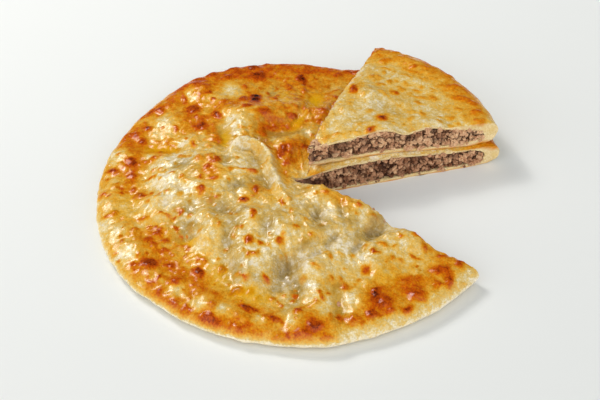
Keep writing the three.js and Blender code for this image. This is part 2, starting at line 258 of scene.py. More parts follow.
UPPER_SPOTS = [Spot(*row) for row in (
    (42, 70, 4.6, 3.4, 0.78, 60), (63, 31, 5, 4.6, 0.8, 60), (53, 17, 3.8, 3.6, 0.76),
    (93, 104, 3.6, 2.6, 0.66), (76, 69, 2.6, 2.4, 0.66), (58, 90, 2.2, 1.8, 0.45),
    (95, 40, 1.8, 4, 0.52), (85, 34, 1.8, 2.6, 0.42), (128, 62, 8, 3.2, 0.64, -20),
    (136, 56, 6, 3, 0.62, -30), (137, 45, 5, 3, 0.58, 20), (139, 34, 5, 3.6, 0.56),
    (121, 76, 7, 4, 0.58, 20), (122, 95, 6, 4, 0.66, 40), (71, 115, 6, 4, 0.52),
    (70, 103, 4.4, 1.8, 0.48, -15), (81, 118, 3, 2.4, 0.5), (102, 103, 4, 3, 0.56),
    (106, 62, 4, 2.2, 0.48, -10), (94, 57, 4.6, 1.8, 0.44, -40), (92, 72, 3.2, 1.8, 0.5, -30),
    (64, 78, 3.4, 1.8, 0.4), (74, 82, 3, 1.6, 0.45), (100, 97, 4, 2, 0.48), (116, 37, 4.4, 3, 0.42, 20),
    (17, 12, 6, 3, 0.42, 20), (27, 15, 4, 1.6, 0.44, -10), (54, 44, 3, 1.6, 0.4, -20),
    (80, 128, 5, 3, 0.55, 20), (70, 140, 4, 4, 0.6), (112, 78, 4, 2, 0.46), (18, 26, 2.4, 4, 0.36, 20),
    (107, 89, 4, 2, 0.42, 20),
)]

# Broad areas of one tone: as a spot, but soft, and pale as well as brown
PATCHES = [Spot(*row) for row in (
    # back and left, from the rim inwards
    (-12, 150, 34, 10, 0.62), (-66, 142, 18, 8, 0.56, 35), (-72, 125, 9, 9, 0.48),
    (-94, 121, 16, 9, 0.7, 38), (-120, 108, 9, 6, 0.3, 50), (-100, 92, 12, 20, 0.47, 30),
    (-78, 86, 7, 9, 0.32), (-70, 101, 8, 9, 0.06), (-58, 111, 13, 13, 0.1), (-50, 113, 9, 10, 0.16),
    (-18, 110, 17, 20, 0.12), (-40, 134, 12, 10, 0.52), (-12, 122, 8, 10, 0.52), (13, 98, 10, 16, 0.28),
    (7, 122, 12, 8, 0.6), (34, 100, 10, 20, 0.22, -15), (24, 132, 12, 8, 0.3), (32, 121, 9, 9, 0.22),
    (-132, 82, 9, 10, 0.42), (-112, 79, 10, 9, 0), (-120, 60, 7, 9, 0.2), (-129, 58, 7, 11, 0.62, 30),
    (-140, 40, 8, 10, 0.4), (-149, 43, 7, 10, 0, 15), (-85, 65, 8, 14, 0.58, 10), (-104, 62, 9, 8, 0.2),
    (-70, 61, 9, 15, 0.68), (-87, 42, 9, 10, 0.2), (-111, 42, 14, 7, 0.7, -18), (-67, 38, 6, 14, 0.54),
    (-54, 62, 9, 16, 0, 10), (-132, 22, 11, 12, 0.62), (-149, 22, 6, 8, 0.34), (-134, 6, 13, 7, 0.42),
    (-150, 4, 7, 9, 0.1), (-136, -5, 16, 4, 0.46), (-148, -12, 5, 8, 0.3), (-138, -24, 18, 15, 0.12),
    (-156, -15, 4, 16, 0.16, 10), (-146, -30, 6, 6, 0.4),
    # the hollow behind the curl and the browned ridge beside the cut; brown at (-9, 60) is partly painted
    # shade
    (-30, 74, 18, 12, 0.4, -8), (-10, 76, 18, 11, 0.4, -10), (-20, 90, 22, 10, 0.32),
    (-20, 58, 17, 8, 0.42), (-31, 48, 6, 15, 0.58), (-10, 48, 12, 11, 0.26), (-8, 20, 12, 18, 0.7, -25),
    (4, 28, 11, 12, 0.42), (4, 56, 12, 9, 0.5, 20), (-9, 60, 13, 8, 0.8), (16, 66, 14, 10, 0.46, -15),
    (24, 82, 8, 12, 0.36), (-40, 80, 12, 6, 0.46), (-24, 66, 16, 5, 0.62, -8),
    (-18, 2, 7, 12, 0.26, 30), *spots_along(CURL, 3.6, .02), *spots_along(CURL_BACK, 2.8, .52),
    *spots_along(CURL_FRONT, 2.0, .3),
    # the pale middle
    (-98, 20, 16, 12, 0), (-110, 4, 10, 16, 0), (-74, 12, 13, 9, 0.32, 20), (-71, -1, 13, 9, 0.6),
    (-50, 5, 11, 12, 0), (-88, -8, 12, 12, 0.02), (-100, -20, 20, 7, 0, 15), (-70, 28, 10, 6, 0.16),
    (-37, -20, 7, 11, 0.4, -10), (-50, -6, 10, 6, 0.16), (-38, -36, 14, 8, 0.2, 10),
    (-30, -18, 4, 8, 0.4, 10), (-70, -22, 8, 8, 0.22), (-60, -36, 12, 8, 0.12),
    (5, -26, 12, 8, 0.16, -30), (18, -33, 10, 8, 0.24), (-10, -55, 10, 16, 0.1), (-40, -88, 18, 22, 0),
    (-40, -62, 10, 8, 0.1), (-2, -78, 14, 8, 0.12, 30), (11, -79, 8, 7, 0.26),
    (36, -50, 10, 8, 0.14, -30), (28, -40, 11, 7, 0.5, -36), (28, -88, 16, 16, 0.02),
    (46, -84, 12, 14, 0.14), (66, -80, 12, 14, 0.1), (66, -64, 12, 6, 0.1, -20), (8, -100, 13, 11, 0),
    (18, -113, 12, 14, 0.22),
    # left front, from the pleat to the cut
    (-150, -42, 7, 12, 0, 15), (-138, -52, 10, 9, 0.14), (-122, -43, 12, 6, 0.12),
    (-110, -38, 9, 6, 0.08), (-110, -56, 14, 8, 0.4, -20), (-98, -62, 10, 7, 0.38, -20),
    (-112, -72, 10, 9, 0.37), (-133, -76, 10, 9, 0), (-98, -48, 8, 6, 0.22), (-94, -74, 10, 5, 0.34),
    (-96, -88, 16, 11, 0.5, -20), (-116, -84, 10, 8, 0.44), (-78, -84, 12, 8, 0.3),
    (-64, -76, 7, 12, 0.16, 10), (-60, -100, 12, 12, 0.24), (-90, -104, 14, 10, 0.54, -30),
    (-112, -100, 8, 10, 0.38, 30), (-72, -104, 12, 12, 0.53), (-98, -118, 12, 7, 0.5, -40),
    (-54, -112, 10, 12, 0.24), (-36, -120, 14, 7, 0.22), (-82, -123, 14, 7, 0.54, -30),
    (-62, -130, 10, 6, 0.38, -20), (-46, -134, 14, 6, 0.48, -12), (-30, -124, 10, 6, 0.3),
    (-69, -139, 13, 7, 0.82, -25), (-26, -138, 10, 7, 0.36), (-13, -135, 9, 9, 0.1),
    (-44, -147, 15, 5, 0.5, -15), (-18, -150, 12, 5, 0.36, -5), (0, -148, 12, 6, 0.66),
    (13, -137, 9, 10, 0.05), (26, -126, 7, 14, 0.46), (32, -130, 6, 10, 0.2), (27, -148, 13, 6, 0.46),
    (48, -126, 9, 14, 0.46, -10), (62, -120, 9, 14, 0.44), (56, -104, 13, 8, 0.27),
    (76, -118, 11, 11, 0.5, 20), (80, -100, 12, 8, 0.17), (98, -106, 11, 10, 0.28, -20),
    (88, -124, 8, 8, 0.36), (112, -106, 8, 8, 0.2), (78, -84, 14, 8, 0.12, -35),
    (64, -142, 14, 5, 0.3, 20), (100, -128, 14, 6, 0.16, 35), (42, -146, 12, 5, 0.4, 10),
    (50, -138, 10, 8, 0.64), *spots_along(PALE_RIM, 5.5, .06),
)]
UPPER_PATCHES = [Spot(*row) for row in (
    (24, 12, 16, 5, 0.2, 10), (16, 20, 6, 8, 0.2), (48, 40, 12, 10, 0.1), (46, 74, 8, 7, 0.3, 60),
    (62, 60, 14, 11, 0.06), (78, 68, 14, 6, 0.22, -20), (84, 36, 12, 6, 0.22, 20),
    (62, 92, 10, 9, 0.22, 60), (92, 100, 14, 8, 0.34, -30), (108, 88, 14, 7, 0.36, -40),
    (126, 62, 14, 6, 0.38, -50), (118, 50, 10, 8, 0.24), (136, 40, 8, 8, 0.34),
    (76, 122, 14, 8, 0.4, -20), (66, 140, 10, 8, 0.5), (106, 64, 9, 7, 0.26), (100, 44, 10, 8, 0.12),
    (148, 30, 6, 10, 0.08), (128, 28, 10, 6, 0.12), (90, 80, 10, 6, 0.2, -30),
)]
LOWER_PATCHES = [Spot(*row) for row in (
    (10, 1, 10, 5, 0.48, 12), (30, 6, 12, 5, 0.12, 12), (62, 13, 20, 5, 0.06, 12),
    (100, 21, 20, 5, 0.12, 12), (138, 30, 18, 6, 0.42, 12),
)]

# Thin dough that lies damp on the mince, darkened by it. On the main part these marks are also
# painted shade, where dips and folds lie in shadow
SHADES = [Spot(*row) for row in (
    (-18, 57, 14, 8, 1, 5), (-6, 48, 8, 6, 0.6), (-60, 44, 6, 12, 0.4), (-93, 13, 8, 8, 0.7),
    (-84, 4, 6, 5, 0.4), (-60, 14, 6, 7, 0.6), (-36, 12, 7, 12, 0.5), (-28, -14, 5, 12, 0.5, -30),
    (-50, -16, 9, 6, 0.8, 20), (-60, -38, 12, 7, 0.8, -40), (-88, -34, 9, 8, 0.7),
    (-88, -50, 12, 6, 0.8, -25), (-74, -30, 8, 6, 0.5), (-48, -46, 8, 5, 0.7), (-56, -72, 5, 16, 0.8),
    (-52, -57, 7, 7, 0.6), (-52, -98, 9, 13, 0.7), (-27, -63, 6, 9, 0.8), (10, -52, 5, 10, 0.9),
    (12, -64, 8, 7, 0.6, 40), (-2, -84, 10, 5, 0.7, 15), (-13, -97, 11, 9, 1),
    (-8, -112, 6, 12, 0.9, 10), (-20, -112, 6, 5, 0.8), (-36, -108, 9, 5, 0.4), (-30, -98, 8, 6, 0.15),
    (28, -52, 4, 9, 0.6), (48, -65, 14, 6, 0.9, 40), (38, -72, 12, 8, 0.5, 40),
    (56, -57, 10, 5, 0.7, 10), (38, -82, 6, 5, 0.5, 40), (22, -120, 4, 12, 0.6), (33, -61, 10, 6, 0.6),
    (0, -48, 8, 8, 0.3), (-20, -52, 10, 8, 0.3), (-66, 58, 5, 8, 0.3), (20, 88, 5, 10, 0.4),
    (-2, 66, 6, 6, 0.5), (-6, -62, 6, 10, 0.3), (18, -20, 6, 5, 0.4), (0, -24, 6, 5, 0.4),
    (-12, -132, 8, 7, 0.4), (88, -62, 6, 5, 0.3),
)]
UPPER_SHADES = [Spot(*row) for row in (
    (66, 52, 12, 8, 0.3, 20), (46, 30, 9, 6, 0.2), (74, 40, 9, 6, 0.2), (84, 22, 9, 4, 0.3, 10),
    (36, 44, 7, 8, 0.15), (58, 74, 6, 6, 0.2),
)]

# Melted butter that stands in the hollows, and stretches that it has soaked to a deeper yellow
POOLS = [Spot(*row) for row in (
    (-60, 42, 19, 5, 0.95, 92), (12, 95, 15, 7.5, 1, 80), (-85, -64, 10, 4, 0.8, -14),
    (-110, 43, 18, 6, 0.8, -18), (-124, -30, 12, 8, 0.38, -30), (-3, 62, 12, 4.5, 0.8, 62),
    (-60, -102, 10, 14, 0.5, 20), (-40, -119, 18, 9, 0.55, -8), (-136, -24, 12, 14, 0.34, -20),
    (-22, -29, 4, 9, 0.45, 10), (-72, -72, 5, 10, 0.2), (20, -130, 4, 12, 0.25, 5),
    (-82, -78, 12, 5, 0.4, -10), (55, -108, 12, 8, 0.25), (-132, -14, 7, 10, 0.35),
    (-15, 104, 6, 12, 0.3),
)]

# Round the pie: the radius where the browning starts, the toast inside the rim and that at the rim
BANDS = [Band(*row) for row in (
    (-180, 112, 0.28, 0.32), (-150, 102, 0.38, 0.32), (-125, 110, 0.4, 0.36), (-105, 118, 0.36, 0.36),
    (-75, 116, 0.34, 0.32), (-50, 104, 0.34, 0.34), (-36, 98, 0.3, 0.3), (10, 120, 0.3, 0.45),
    (40, 112, 0.28, 0.5), (66, 66, 0.34, 0.38), (90, 62, 0.34, 0.54), (115, 74, 0.4, 0.56),
    (140, 86, 0.46, 0.54), (160, 100, 0.42, 0.44), (180, 112, 0.28, 0.32),
)]
BAND_RISE = 26.0
UPPER_BANDS = [Band(*row) for row in (
    (-180, 150, 0.2, 0.3), (5, 132, 0.03, 0.16), (25, 122, 0.05, 0.32), (45, 116, 0.08, 0.38),
    (66, 118, 0.18, 0.36), (180, 150, 0.2, 0.3),
)]


# ---------------------------------------------------------------- places on the plan

WANDER_SIZE = 13
WANDER = 2.6


def heading(degrees):
    return np.array([math.cos(math.radians(degrees)), math.sin(math.radians(degrees))])


def smoothstep(value, low, high):
    share = np.clip((value - low) / (high - low), 0, 1)
    return share * share * (3 - 2 * share)


def blend(low, high, share):
    return low + (high - low) * share


def bell(spread):
    """1 in the middle, and less with the distance from it."""
    return np.exp(-(spread ** 2))


def ripple(x, y, size, seed):
    """Smooth noise from about -1 to 1 over the plan, with lumps of the given size."""
    return np.array([noise.noise((a, b, seed)) for a, b in zip(x / size, y / size)])


def puffed(wave):
    """Noise turned into round lumps with soft valleys between them."""
    return np.sqrt(wave ** 2 + 0.012) - 0.25


def wandering(x, y, seed):
    """The plan pushed about a little, so that what is laid out on it gets an uneven outline."""
    return x + WANDER * ripple(x, y, WANDER_SIZE, seed), y + WANDER * ripple(x, y, WANDER_SIZE, seed + 1)


def swell_sum(swells, x, y, key):
    angle = np.degrees(np.arctan2(y, x))
    total = np.zeros_like(x)
    for swell in swells:
        off = (angle - swell.at + 180) % 360 - 180
        total += getattr(swell, key) * bell(off / swell.spread)
    return total


def along_across(shape, x, y):
    turn = heading(shape.turn)
    along = (x - shape.x) * turn[0] + (y - shape.y) * turn[1]
    across = (y - shape.y) * turn[0] - (x - shape.x) * turn[1]
    return along, across


def fold_sum(folds, x, y):
    total = np.zeros_like(x)
    for fold in folds:
        along, across = along_across(fold, x, y)
        width = fold.width * (1 - fold.lean * np.sign(across))
        total += fold.rise * np.exp(-((along / fold.length) ** 2) - (across / width) ** 2)
    return total


def lit_slope(gleam):
    """The fold whose slope on its left, as seen along its crest, lies where a gleam is."""
    crest = np.array([gleam.x, gleam.y]) + 0.7 * gleam.width * heading(gleam.turn - 90)
    return Fold(*crest, gleam.length, gleam.width / 0.7, gleam.turn, gleam.rise, 0.3)


def spread_of(shape, x, y):
    """Distance from the middle of a spot, which is 1 on its outline."""
    along, across = along_across(shape, x, y)
    return np.hypot(along / shape.length, across / shape.width)


def band_value(bands, x, y, key):
    angle = np.degrees(np.arctan2(y, x))
    return np.interp(angle, [band.at for band in bands], [getattr(band, key) for band in bands])


class Pie:
    """Sizes of the pie in mm, and its heights over any place of the plan."""

    def __init__(self, sizes):
        self.radius = sizes.radius / MM
        self.rim = sizes.rim_thickness / MM
        self.mound = sizes.mound_thickness / MM
        self.dough = sizes.dough / MM
        self.wedge = sizes.wedge_thickness / MM
        self.skin_step = sizes.skin_step / MM
        self.blister = sizes.blister_rise / MM

    def mound_top(self, x, y):
        rim = self.rim + swell_sum(RIM_SWELLS, x, y, "thickness")
        share = 1 - smoothstep(np.hypot(x, y), MOUND_SHOULDER, MOUND_FOOT)
        return blend(rim, self.mound, share) + fold_sum(FOLDS, x, y)

    def top(self, x, y):
        return self.mound_top(x, y) - VENT_DIP * bell(np.hypot(x, y) / VENT_RADIUS)

    def ground(self, x, y):
        return np.zeros_like(x)

    def wedge_base(self, x, y):
        return self.mound_top(x, y) + UPPER_GAP

    def wedge_top(self, x, y):
        share = (np.hypot(x, y) / self.radius) ** THICKNESS_FADE
        swell = share * swell_sum(UPPER_SWELLS, x, y, "thickness")
        return self.wedge_base(x, y) + self.wedge + swell + fold_sum(UPPER_FOLDS, x, y)


# ---------------------------------------------------------------- finish of the skin

# Lumps of the skin: their size, and their rise over the meat and at the rim
Lump = namedtuple("Lump", "size over_meat at_rim")
BROAD = Lump(14, 2.4, 0.0)
SMALL = Lump(6.0, 1.6, 1.2)
GRAIN = Lump(3.4, 0.6, 0.45)
UNEVEN = Lump(9, 0.0, 1.2)
MEAT_ENDS = (96, 138)
WRINKLE_HEADING = 108.0
WRINKLE_RISE = 0.9

BARE_TOAST = 0.12
RIM_BROWNS = (128, 150)
PATCH_STRENGTH = 0.8
SPOT_REACH = 24
LARGE_BLISTER = 4
# How far the dips of the skin darken: partly damp dough over the mince, partly painted shade
DIP_DAMP_AND_SHADE = 0.62
BUTTER_LEVELS = 0.8


class Skin:
    """The finish of one outer skin: its fine relief in mm, and what shows on it, from 0 to 1."""

    def __init__(self, pie, seed, lumps, bands, pleats=(), patches=(), spots=(), shades=(), pools=()):
        self.pie = pie
        self.seed = seed
        self.lumps = lumps
        self.bands = bands
        self.pleats = pleats
        self.patches = patches
        self.spots = spots
        self.shades = shades
        self.pools = pools

    def pleat_rise(self, x, y):
        return fold_sum(self.pleats, *wandering(x, y, self.seed + 41))

    def inner_rise(self, x, y):
        """How far the underside of the top dough follows the pleats."""
        pleats = self.pleat_rise(x, y)
        return 0.6 * np.maximum(pleats, 0) + 0.9 * np.minimum(pleats, 0)

    def lump_rise(self, x, y):
        """Lumps of the meat under the thin dough, and flatter ones at the rim."""
        mound = 1 - smoothstep(np.hypot(x, y), *MEAT_ENDS)
        broad = puffed(ripple(x, y, BROAD.size, self.seed))
        small = puffed(ripple(x, y, SMALL.size, self.seed + 7))
        grain = ripple(x, y, GRAIN.size, self.seed + 9)
        uneven = ripple(x, y, UNEVEN.size, self.seed + 3)
        over_meat = BROAD.over_meat * broad + SMALL.over_meat * small + GRAIN.over_meat * grain
        over_meat += WRINKLE_RISE * self.wrinkles(x, y)
        at_rim = UNEVEN.at_rim * uneven + SMALL.at_rim * small + GRAIN.at_rim * grain
        return self.lumps * (mound * over_meat + (1 - mound) * at_rim)

    def wrinkles(self, x, y):
        """Thin crests of drawn skin, in patches, which mostly run across the light."""
        ahead = heading(WRINKLE_HEADING)
        along = x * ahead[0] + y * ahead[1]
        across = y * ahead[0] - x * ahead[1] + 3 * ripple(x, y, 14, self.seed + 53)
        wave = ripple(across, along / 2.4, 7, self.seed + 57)
        patch = smoothstep(ripple(x, y, 24, self.seed + 51), -0.1, 0.25)
        return patch * bell(wave / 0.2)

    def frayed(self, x, y):
        """The plan pushed about finely, so that spots and patches get ragged edges."""
        seeds = (self.seed + 11, self.seed + 13)
        return [place + 2.2 * ripple(x, y, 6.5, seed) + 0.9 * ripple(x, y, 2.6, seed + 1)
                for place, seed in zip((x, y), seeds)]

    def baked(self, x, y, plan, pleats, lumps):
        """Toast of the dough without its spots: the bands round the pie, the patches and a mottle."""
        reach = np.hypot(x, y)
        start = band_value(self.bands, x, y, "start") + 7 * ripple(x, y, 24, self.seed + 17)
        inner = band_value(self.bands, x, y, "inner")
        rim = band_value(self.bands, x, y, "rim")
        toast = BARE_TOAST + inner * smoothstep(reach, start, start + BAND_RISE)
        toast += (rim - inner) * smoothstep(reach, *RIM_BROWNS)
        for patch in self.patches:
            toast = blend(toast, patch.amount, PATCH_STRENGTH * bell(spread_of(patch, *plan)))
        depth = smoothstep(toast, 0.1, 0.4)
        toast += (0.04 + 0.09 * depth) * ripple(x, y, 12, self.seed + 19)
        toast += (0.08 + 0.03 * depth) * ripple(x, y, 4.5, self.seed + 23)
        toast += 0.03 * np.clip(lumps, -1.5, 1.5) + 0.015 * np.clip(pleats, -2, 2)
        return np.clip(toast, 0, 1)

    def add_spots(self, x, y, plan, toast):
        """Browns the toast where the spots are, and gives the rise of their blisters."""
        domes = np.zeros_like(x)
        for spot in self.spots:
            near = (np.abs(x - spot.x) < SPOT_REACH) & (np.abs(y - spot.y) < SPOT_REACH)
            spread = spread_of(spot, plan[0][near], plan[1][near])
            share = np.exp(-(spread ** 3) * 0.8)
            toast[near] = np.maximum(toast[near], blend(toast[near], spot.amount, share))
            height = self.pie.blister * min(1.0, min(spot.length, spot.width) / LARGE_BLISTER)
            domes[near] = np.maximum(domes[near], height * np.clip(1 - spread ** 2, 0, 1))
        return domes

    def paint(self, x, y):
        """Rise of the skin, and how toasted, hollow (damp and painted shade) and buttered it is there."""
        pleats, lumps = self.pleat_rise(x, y), self.lump_rise(x, y)
        plan = self.frayed(x, y)
        toast = self.baked(x, y, plan, pleats, lumps)
        domes = self.add_spots(x, y, plan, toast)
        butter = np.zeros_like(x)
        for pool in self.pools:
            butter = np.maximum(butter, pool.amount * np.exp(-(spread_of(pool, *plan) ** 3)))
        # Painted shade: the deeper a dip, the darker it is painted, besides the damp dough that lies there
        damp_and_shaded = DIP_DAMP_AND_SHADE * smoothstep(-(pleats + 0.7 * lumps), 0.2, 2.6)
        for shade in self.shades:
            damp_and_shaded = np.maximum(damp_and_shaded, shade.amount * bell(spread_of(shade, *plan)))
        hollow = damp_and_shaded * (1 - smoothstep(toast, 0.35, 0.6))
        return pleats + lumps * (1 - BUTTER_LEVELS * butter ** 2) + domes, toast, hollow, butter


def random_specks(seed, count, reaches, sector, turns=(0, 180), longest=1.7, pale=(0.28, 0.56),
                  brown=(0.45, 0.78)):
    """Small blisters scattered over the browned dough, thinner towards the middle."""
    rng = np.random.default_rng(seed)
    specks = []
    for _ in range(count):
        reach = blend(*reaches, rng.random() ** 0.6)
        turn = heading(rng.uniform(*sector))
        size = rng.uniform(0.8, 2.2)
        amount = rng.uniform(*(brown if reach > 100 else pale))
        specks.append(Spot(reach * turn[0], reach * turn[1], size * rng.uniform(1, longest), size,
                           amount, rng.uniform(*turns)))
    return specks


def main_skin(pie):
    sector = (60, 323)
    specks = random_specks(5, 230, (60, 158), sector) + random_specks(6, 170, (12, 122), sector)
    # Painted highlight: the dough is painted palest under each gleam, which whitens its sheen
    gleams = [Spot(g.x, g.y, 0.95 * g.length, 0.95 * g.width, 0.0, g.turn) for g in GLEAMS]
    return Skin(pie, 2.5, 1.0, BANDS, PLEATS + [lit_slope(gleam) for gleam in GLEAMS], PATCHES + gleams,
                SPOTS + specks, SHADES, POOLS)


def lower_skin(pie):
    return Skin(pie, 8.5, 0.12, BANDS, patches=LOWER_PATCHES)


def upper_skin(pie):
    sector, tones = (12, 66), {"pale": (0.2, 0.36), "brown": (0.3, 0.5)}
    specks = random_specks(9, 45, (30, 150), sector, **tones)
    streaks = random_specks(14, 60, (40, 150), sector, (-50, 10), 3.2, **tones)
    return Skin(pie, 12.5, 0.3, UPPER_BANDS, UPPER_PLEATS + [lit_slope(gleam) for gleam in UPPER_GLEAMS],
                UPPER_PATCHES, UPPER_SPOTS + specks + streaks, UPPER_SHADES)


# ---------------------------------------------------------------- swept shells

MERGE = 1e-3
SAME_PLACE = 0.01
FLAT_THICKNESS = 20.0
COARSE_STEP = 6.0
RIM_WAIST = 0.52
RIM_FOOT_LEVEL = 0.03
RIM_FOOT_RINGS = 10
RIM_TOP_RINGS = 15
SKIN_CUTS = 7
LENS_BLUNTNESS = 2.2
LENS_RINGS = (1, 0.8, 0.6, 0.42, 0.28, 0.16, 0.07, 0.02)


def flat_height(pie, level, inside):
    """Height of a chain's point while the shell is still flat."""
    layer = pie.dough * inside
    return layer + level * (FLAT_THICKNESS - 2 * layer)


def rim_arc(radius, width, level, turns):
    """A quarter of an ellipse from the rim's waist to a level, which lies the width further in."""
    bends = [turn * math.pi / 2 for turn in turns]
    return [(radius - width * (1 - math.cos(bend)), RIM_WAIST + (level - RIM_WAIST) * math.sin(bend))
            for bend in bends]


def crust_chain(radius, ring_step):
    """Points (radius, level) from the middle of the underside round the rim to the middle of the top."""
    crest = radius - RIM_TOP_WIDTH
    chain = [(r, 0.0) for r in np.arange(0, radius - RIM_FOOT_WIDTH - COARSE_STEP, COARSE_STEP)]
    chain += rim_arc(radius, RIM_FOOT_WIDTH, RIM_FOOT_LEVEL, 1 - np.linspace(0, 1, RIM_FOOT_RINGS))
    chain += rim_arc(radius, RIM_TOP_WIDTH, 1.0, np.linspace(0, 1, RIM_TOP_RINGS)[1:])
    return chain + [(r, 1.0) for r in np.linspace(crest, 0, round(crest / ring_step))[1:]]


def hollow_edge(lens, radius):
    """Lowest and highest level of the filling at a radius: it thins to a blunt edge at its reach."""
    share = np.clip((radius - (lens.reach - lens.taper)) / lens.taper, 0, 1)
    closed = 1 - np.sqrt(np.clip(1 - share ** LENS_BLUNTNESS, 0, 1))
    return closed * lens.lean, 1 - closed * (1 - lens.lean)


def hollow_chain(lens):
    """Points (radius, level) from the middle of the hollow's floor round its edge to its roof."""
    rings = [float(r) for r in np.arange(0, lens.reach - lens.taper, COARSE_STEP)]
    rings += [lens.reach - share * lens.taper for share in LENS_RINGS]
    low = [(r, float(hollow_edge(lens, r)[0])) for r in rings]
    high = [(r, float(hollow_edge(lens, r)[1])) for r in rings]
    return low + [(lens.reach, lens.lean)] + high[::-1]


class Marks:
    """What each vertex of a swept piece remembers while it is flat."""

    def __init__(self, bm):
        self.radius = bm.verts.layers.float.new("radius")
        self.level = bm.verts.layers.float.new("level")
        self.inside = bm.verts.layers.float.new("inside")

    def put(self, vert, radius, level, inside):
        vert[self.radius] = radius
        vert[self.level] = level
        vert[self.inside] = inside


def only(geometry, kind):
    return [item for item in geometry if isinstance(item, kind)]


def spin(bm, geometry, wedge, steps):
    bmesh.ops.spin(bm, geom=geometry, cent=(*wedge.corner, 0), axis=(0, 0, 1),
                   angle=math.radians(wedge.sweep), steps=steps)


def split_arcs(bm, marks, edges, cuts):
    """Splits the edges that join one ring's points from step to step."""
    arcs = []
    for edge in edges:
        a, b = edge.verts
        same = abs(a[marks.radius] - b[marks.radius]) + abs(a[marks.level] - b[marks.level])
        if same < 1e-5 and a[marks.radius] > 1e-4:
            arcs.append(edge)
    bmesh.ops.subdivide_edges(bm, edges=arcs, cuts=cuts)


def sweep_shell(bm, marks, pie, part, chain, cuts, inside):
    """Sweeps a standing chain along the wedge's tail and round its corner."""
    wedge, strips = part.wedge, part.crust_strips
    known = set(bm.edges)
    ahead = heading(wedge.start)
    origin = np.array(wedge.corner) + wedge.tail
    verts = []
    for radius, level in chain:
        x, y = origin + radius * ahead
        vert = bm.verts.new((x, y, flat_height(pie, level, inside)))
        marks.put(vert, radius, level, inside)
        verts.append(vert)
    edges = [bm.edges.new(pair) for pair in zip(verts, verts[1:])]
    for _ in range(strips):
        made = bmesh.ops.extrude_edge_only(bm, edges=edges)["geom"]
        verts = only(made, bmesh.types.BMVert)
        front = set(verts)
        edges = [e for e in only(made, bmesh.types.BMEdge) if front.issuperset(e.verts)]
        bmesh.ops.translate(bm, vec=(*(-np.array(wedge.tail) / strips), 0), verts=verts)
    spin(bm, verts + edges, wedge, part.crust_steps)
    bmesh.ops.remove_doubles(bm, verts=[v for v in bm.verts if v[marks.inside] == inside], dist=MERGE)
    made = [e for e in bm.edges if e not in known and e.verts[0][marks.inside] == inside]
    if cuts > 0:
        split_arcs(bm, marks, made, cuts)


def wedge_cuts(wedge):
    """The upright planes that bound a wedge."""
    corner = np.array(wedge.corner)
    cuts = [Cut(corner + wedge.tail, wedge.start, wedge.open[0]),
            Cut(corner, wedge.start + wedge.sweep, wedge.open[1])]
    if np.hypot(*wedge.tail) > 0:
        tail_heading = math.degrees(math.atan2(wedge.tail[1], wedge.tail[0]))
        cuts.append(Cut(corner, tail_heading, True))
    return cuts


def distance_to(cut, x, y):
    """How far a place lies left of a cut."""
    ahead = heading(cut.heading)
    return (y - cut.point[1]) * ahead[0] - (x - cut.point[0]) * ahead[1]


def run_along(cut, x, y):
    ahead = heading(cut.heading)
    return (x - cut.point[0]) * ahead[0] + (y - cut.point[1]) * ahead[1]


def close_shell(bm, marks, wedge):
    """Joins the outer and the inner shell at the corners and fills the cut faces."""
    corners = {tuple(np.round(wedge.corner, 3)), tuple(np.round(np.array(wedge.corner) + wedge.tail, 3))}
    for x, y in corners:
        for level in (0.0, 1.0):
            ends = [v for v in bm.verts if v[marks.radius] < 1e-4 and abs(v[marks.level] - level) < 1e-4
                    and math.hypot(v.co.x - x, v.co.y - y) < SAME_PLACE]
            bm.edges.new(ends)
    made = []
    for cut in wedge_cuts(wedge):
        rim = [e for e in bm.edges if len(e.link_faces) < 2
               and all(abs(distance_to(cut, v.co.x, v.co.y)) < SAME_PLACE for v in e.verts)]
        for edge in rim:
            edge.smooth = False
        made += only(bmesh.ops.triangle_fill(bm, use_beauty=True, edges=rim)["geom"], bmesh.types.BMFace)
    return made


def mesh_of(bm, node):
    mesh = bpy.data.meshes.new("visual_" + node)
    bm.to_mesh(mesh)
    bm.free()
    return mesh


def read(mesh, name, size=1):
    """A mark of every vertex, or its place where the name is co."""
    values = np.zeros(len(mesh.vertices) * size, np.float32)
    if name == "co":
        mesh.vertices.foreach_get("co", values)
    else:
        mesh.attributes[name].data.foreach_get("value", values)
    return values.astype(float).reshape(-1, size) if size > 1 else values.astype(float)


def write(mesh, name, values):
    attribute = mesh.attributes.get(name) or mesh.attributes.new(name, "FLOAT", "POINT")
    attribute.data.foreach_set("value", np.ascontiguousarray(values, np.float32))


def wedge_places(mesh, wedge):
    """Plan place of every vertex: rings run round the pie, and near the corner round the corner."""
    flat = read(mesh, "co", 3)[:, :2]
    radius = read(mesh, "radius")
    corner = np.array(wedge.corner)
    offset = flat - corner
    reach = np.hypot(offset[:, 0], offset[:, 1])
    first = heading(wedge.start)
    in_tail = (reach > radius + 0.02) | (reach < SAME_PLACE)
    ahead = np.where(in_tail[:, None], first, offset / np.maximum(reach, 1e-6)[:, None])
    base = np.where(in_tail[:, None], flat - radius[:, None] * first, corner)
    centre = base * (1 - smoothstep(radius, 15, 60))[:, None]
    away = base - centre
    dot = (away * ahead).sum(1)
    run = -dot + np.sqrt(np.maximum(dot ** 2 - (away ** 2).sum(1) + radius ** 2, 0))
    return base + run[:, None] * ahead


def stretch_outline(pie, swells, x, y):
    """Places pushed outwards or back where the outline of the pie swells."""
    share = (np.hypot(x, y) / pie.radius) ** OUTLINE_FADE
    grow = 1 + share * swell_sum(swells, x, y, "radius") / pie.radius
    return x * grow, y * grow


def set_places(mesh, x, y, z):
    places = np.stack([x, y, z], 1) * MM
    mesh.vertices.foreach_set("co", places.astype(np.float32).ravel())
    mesh.update()


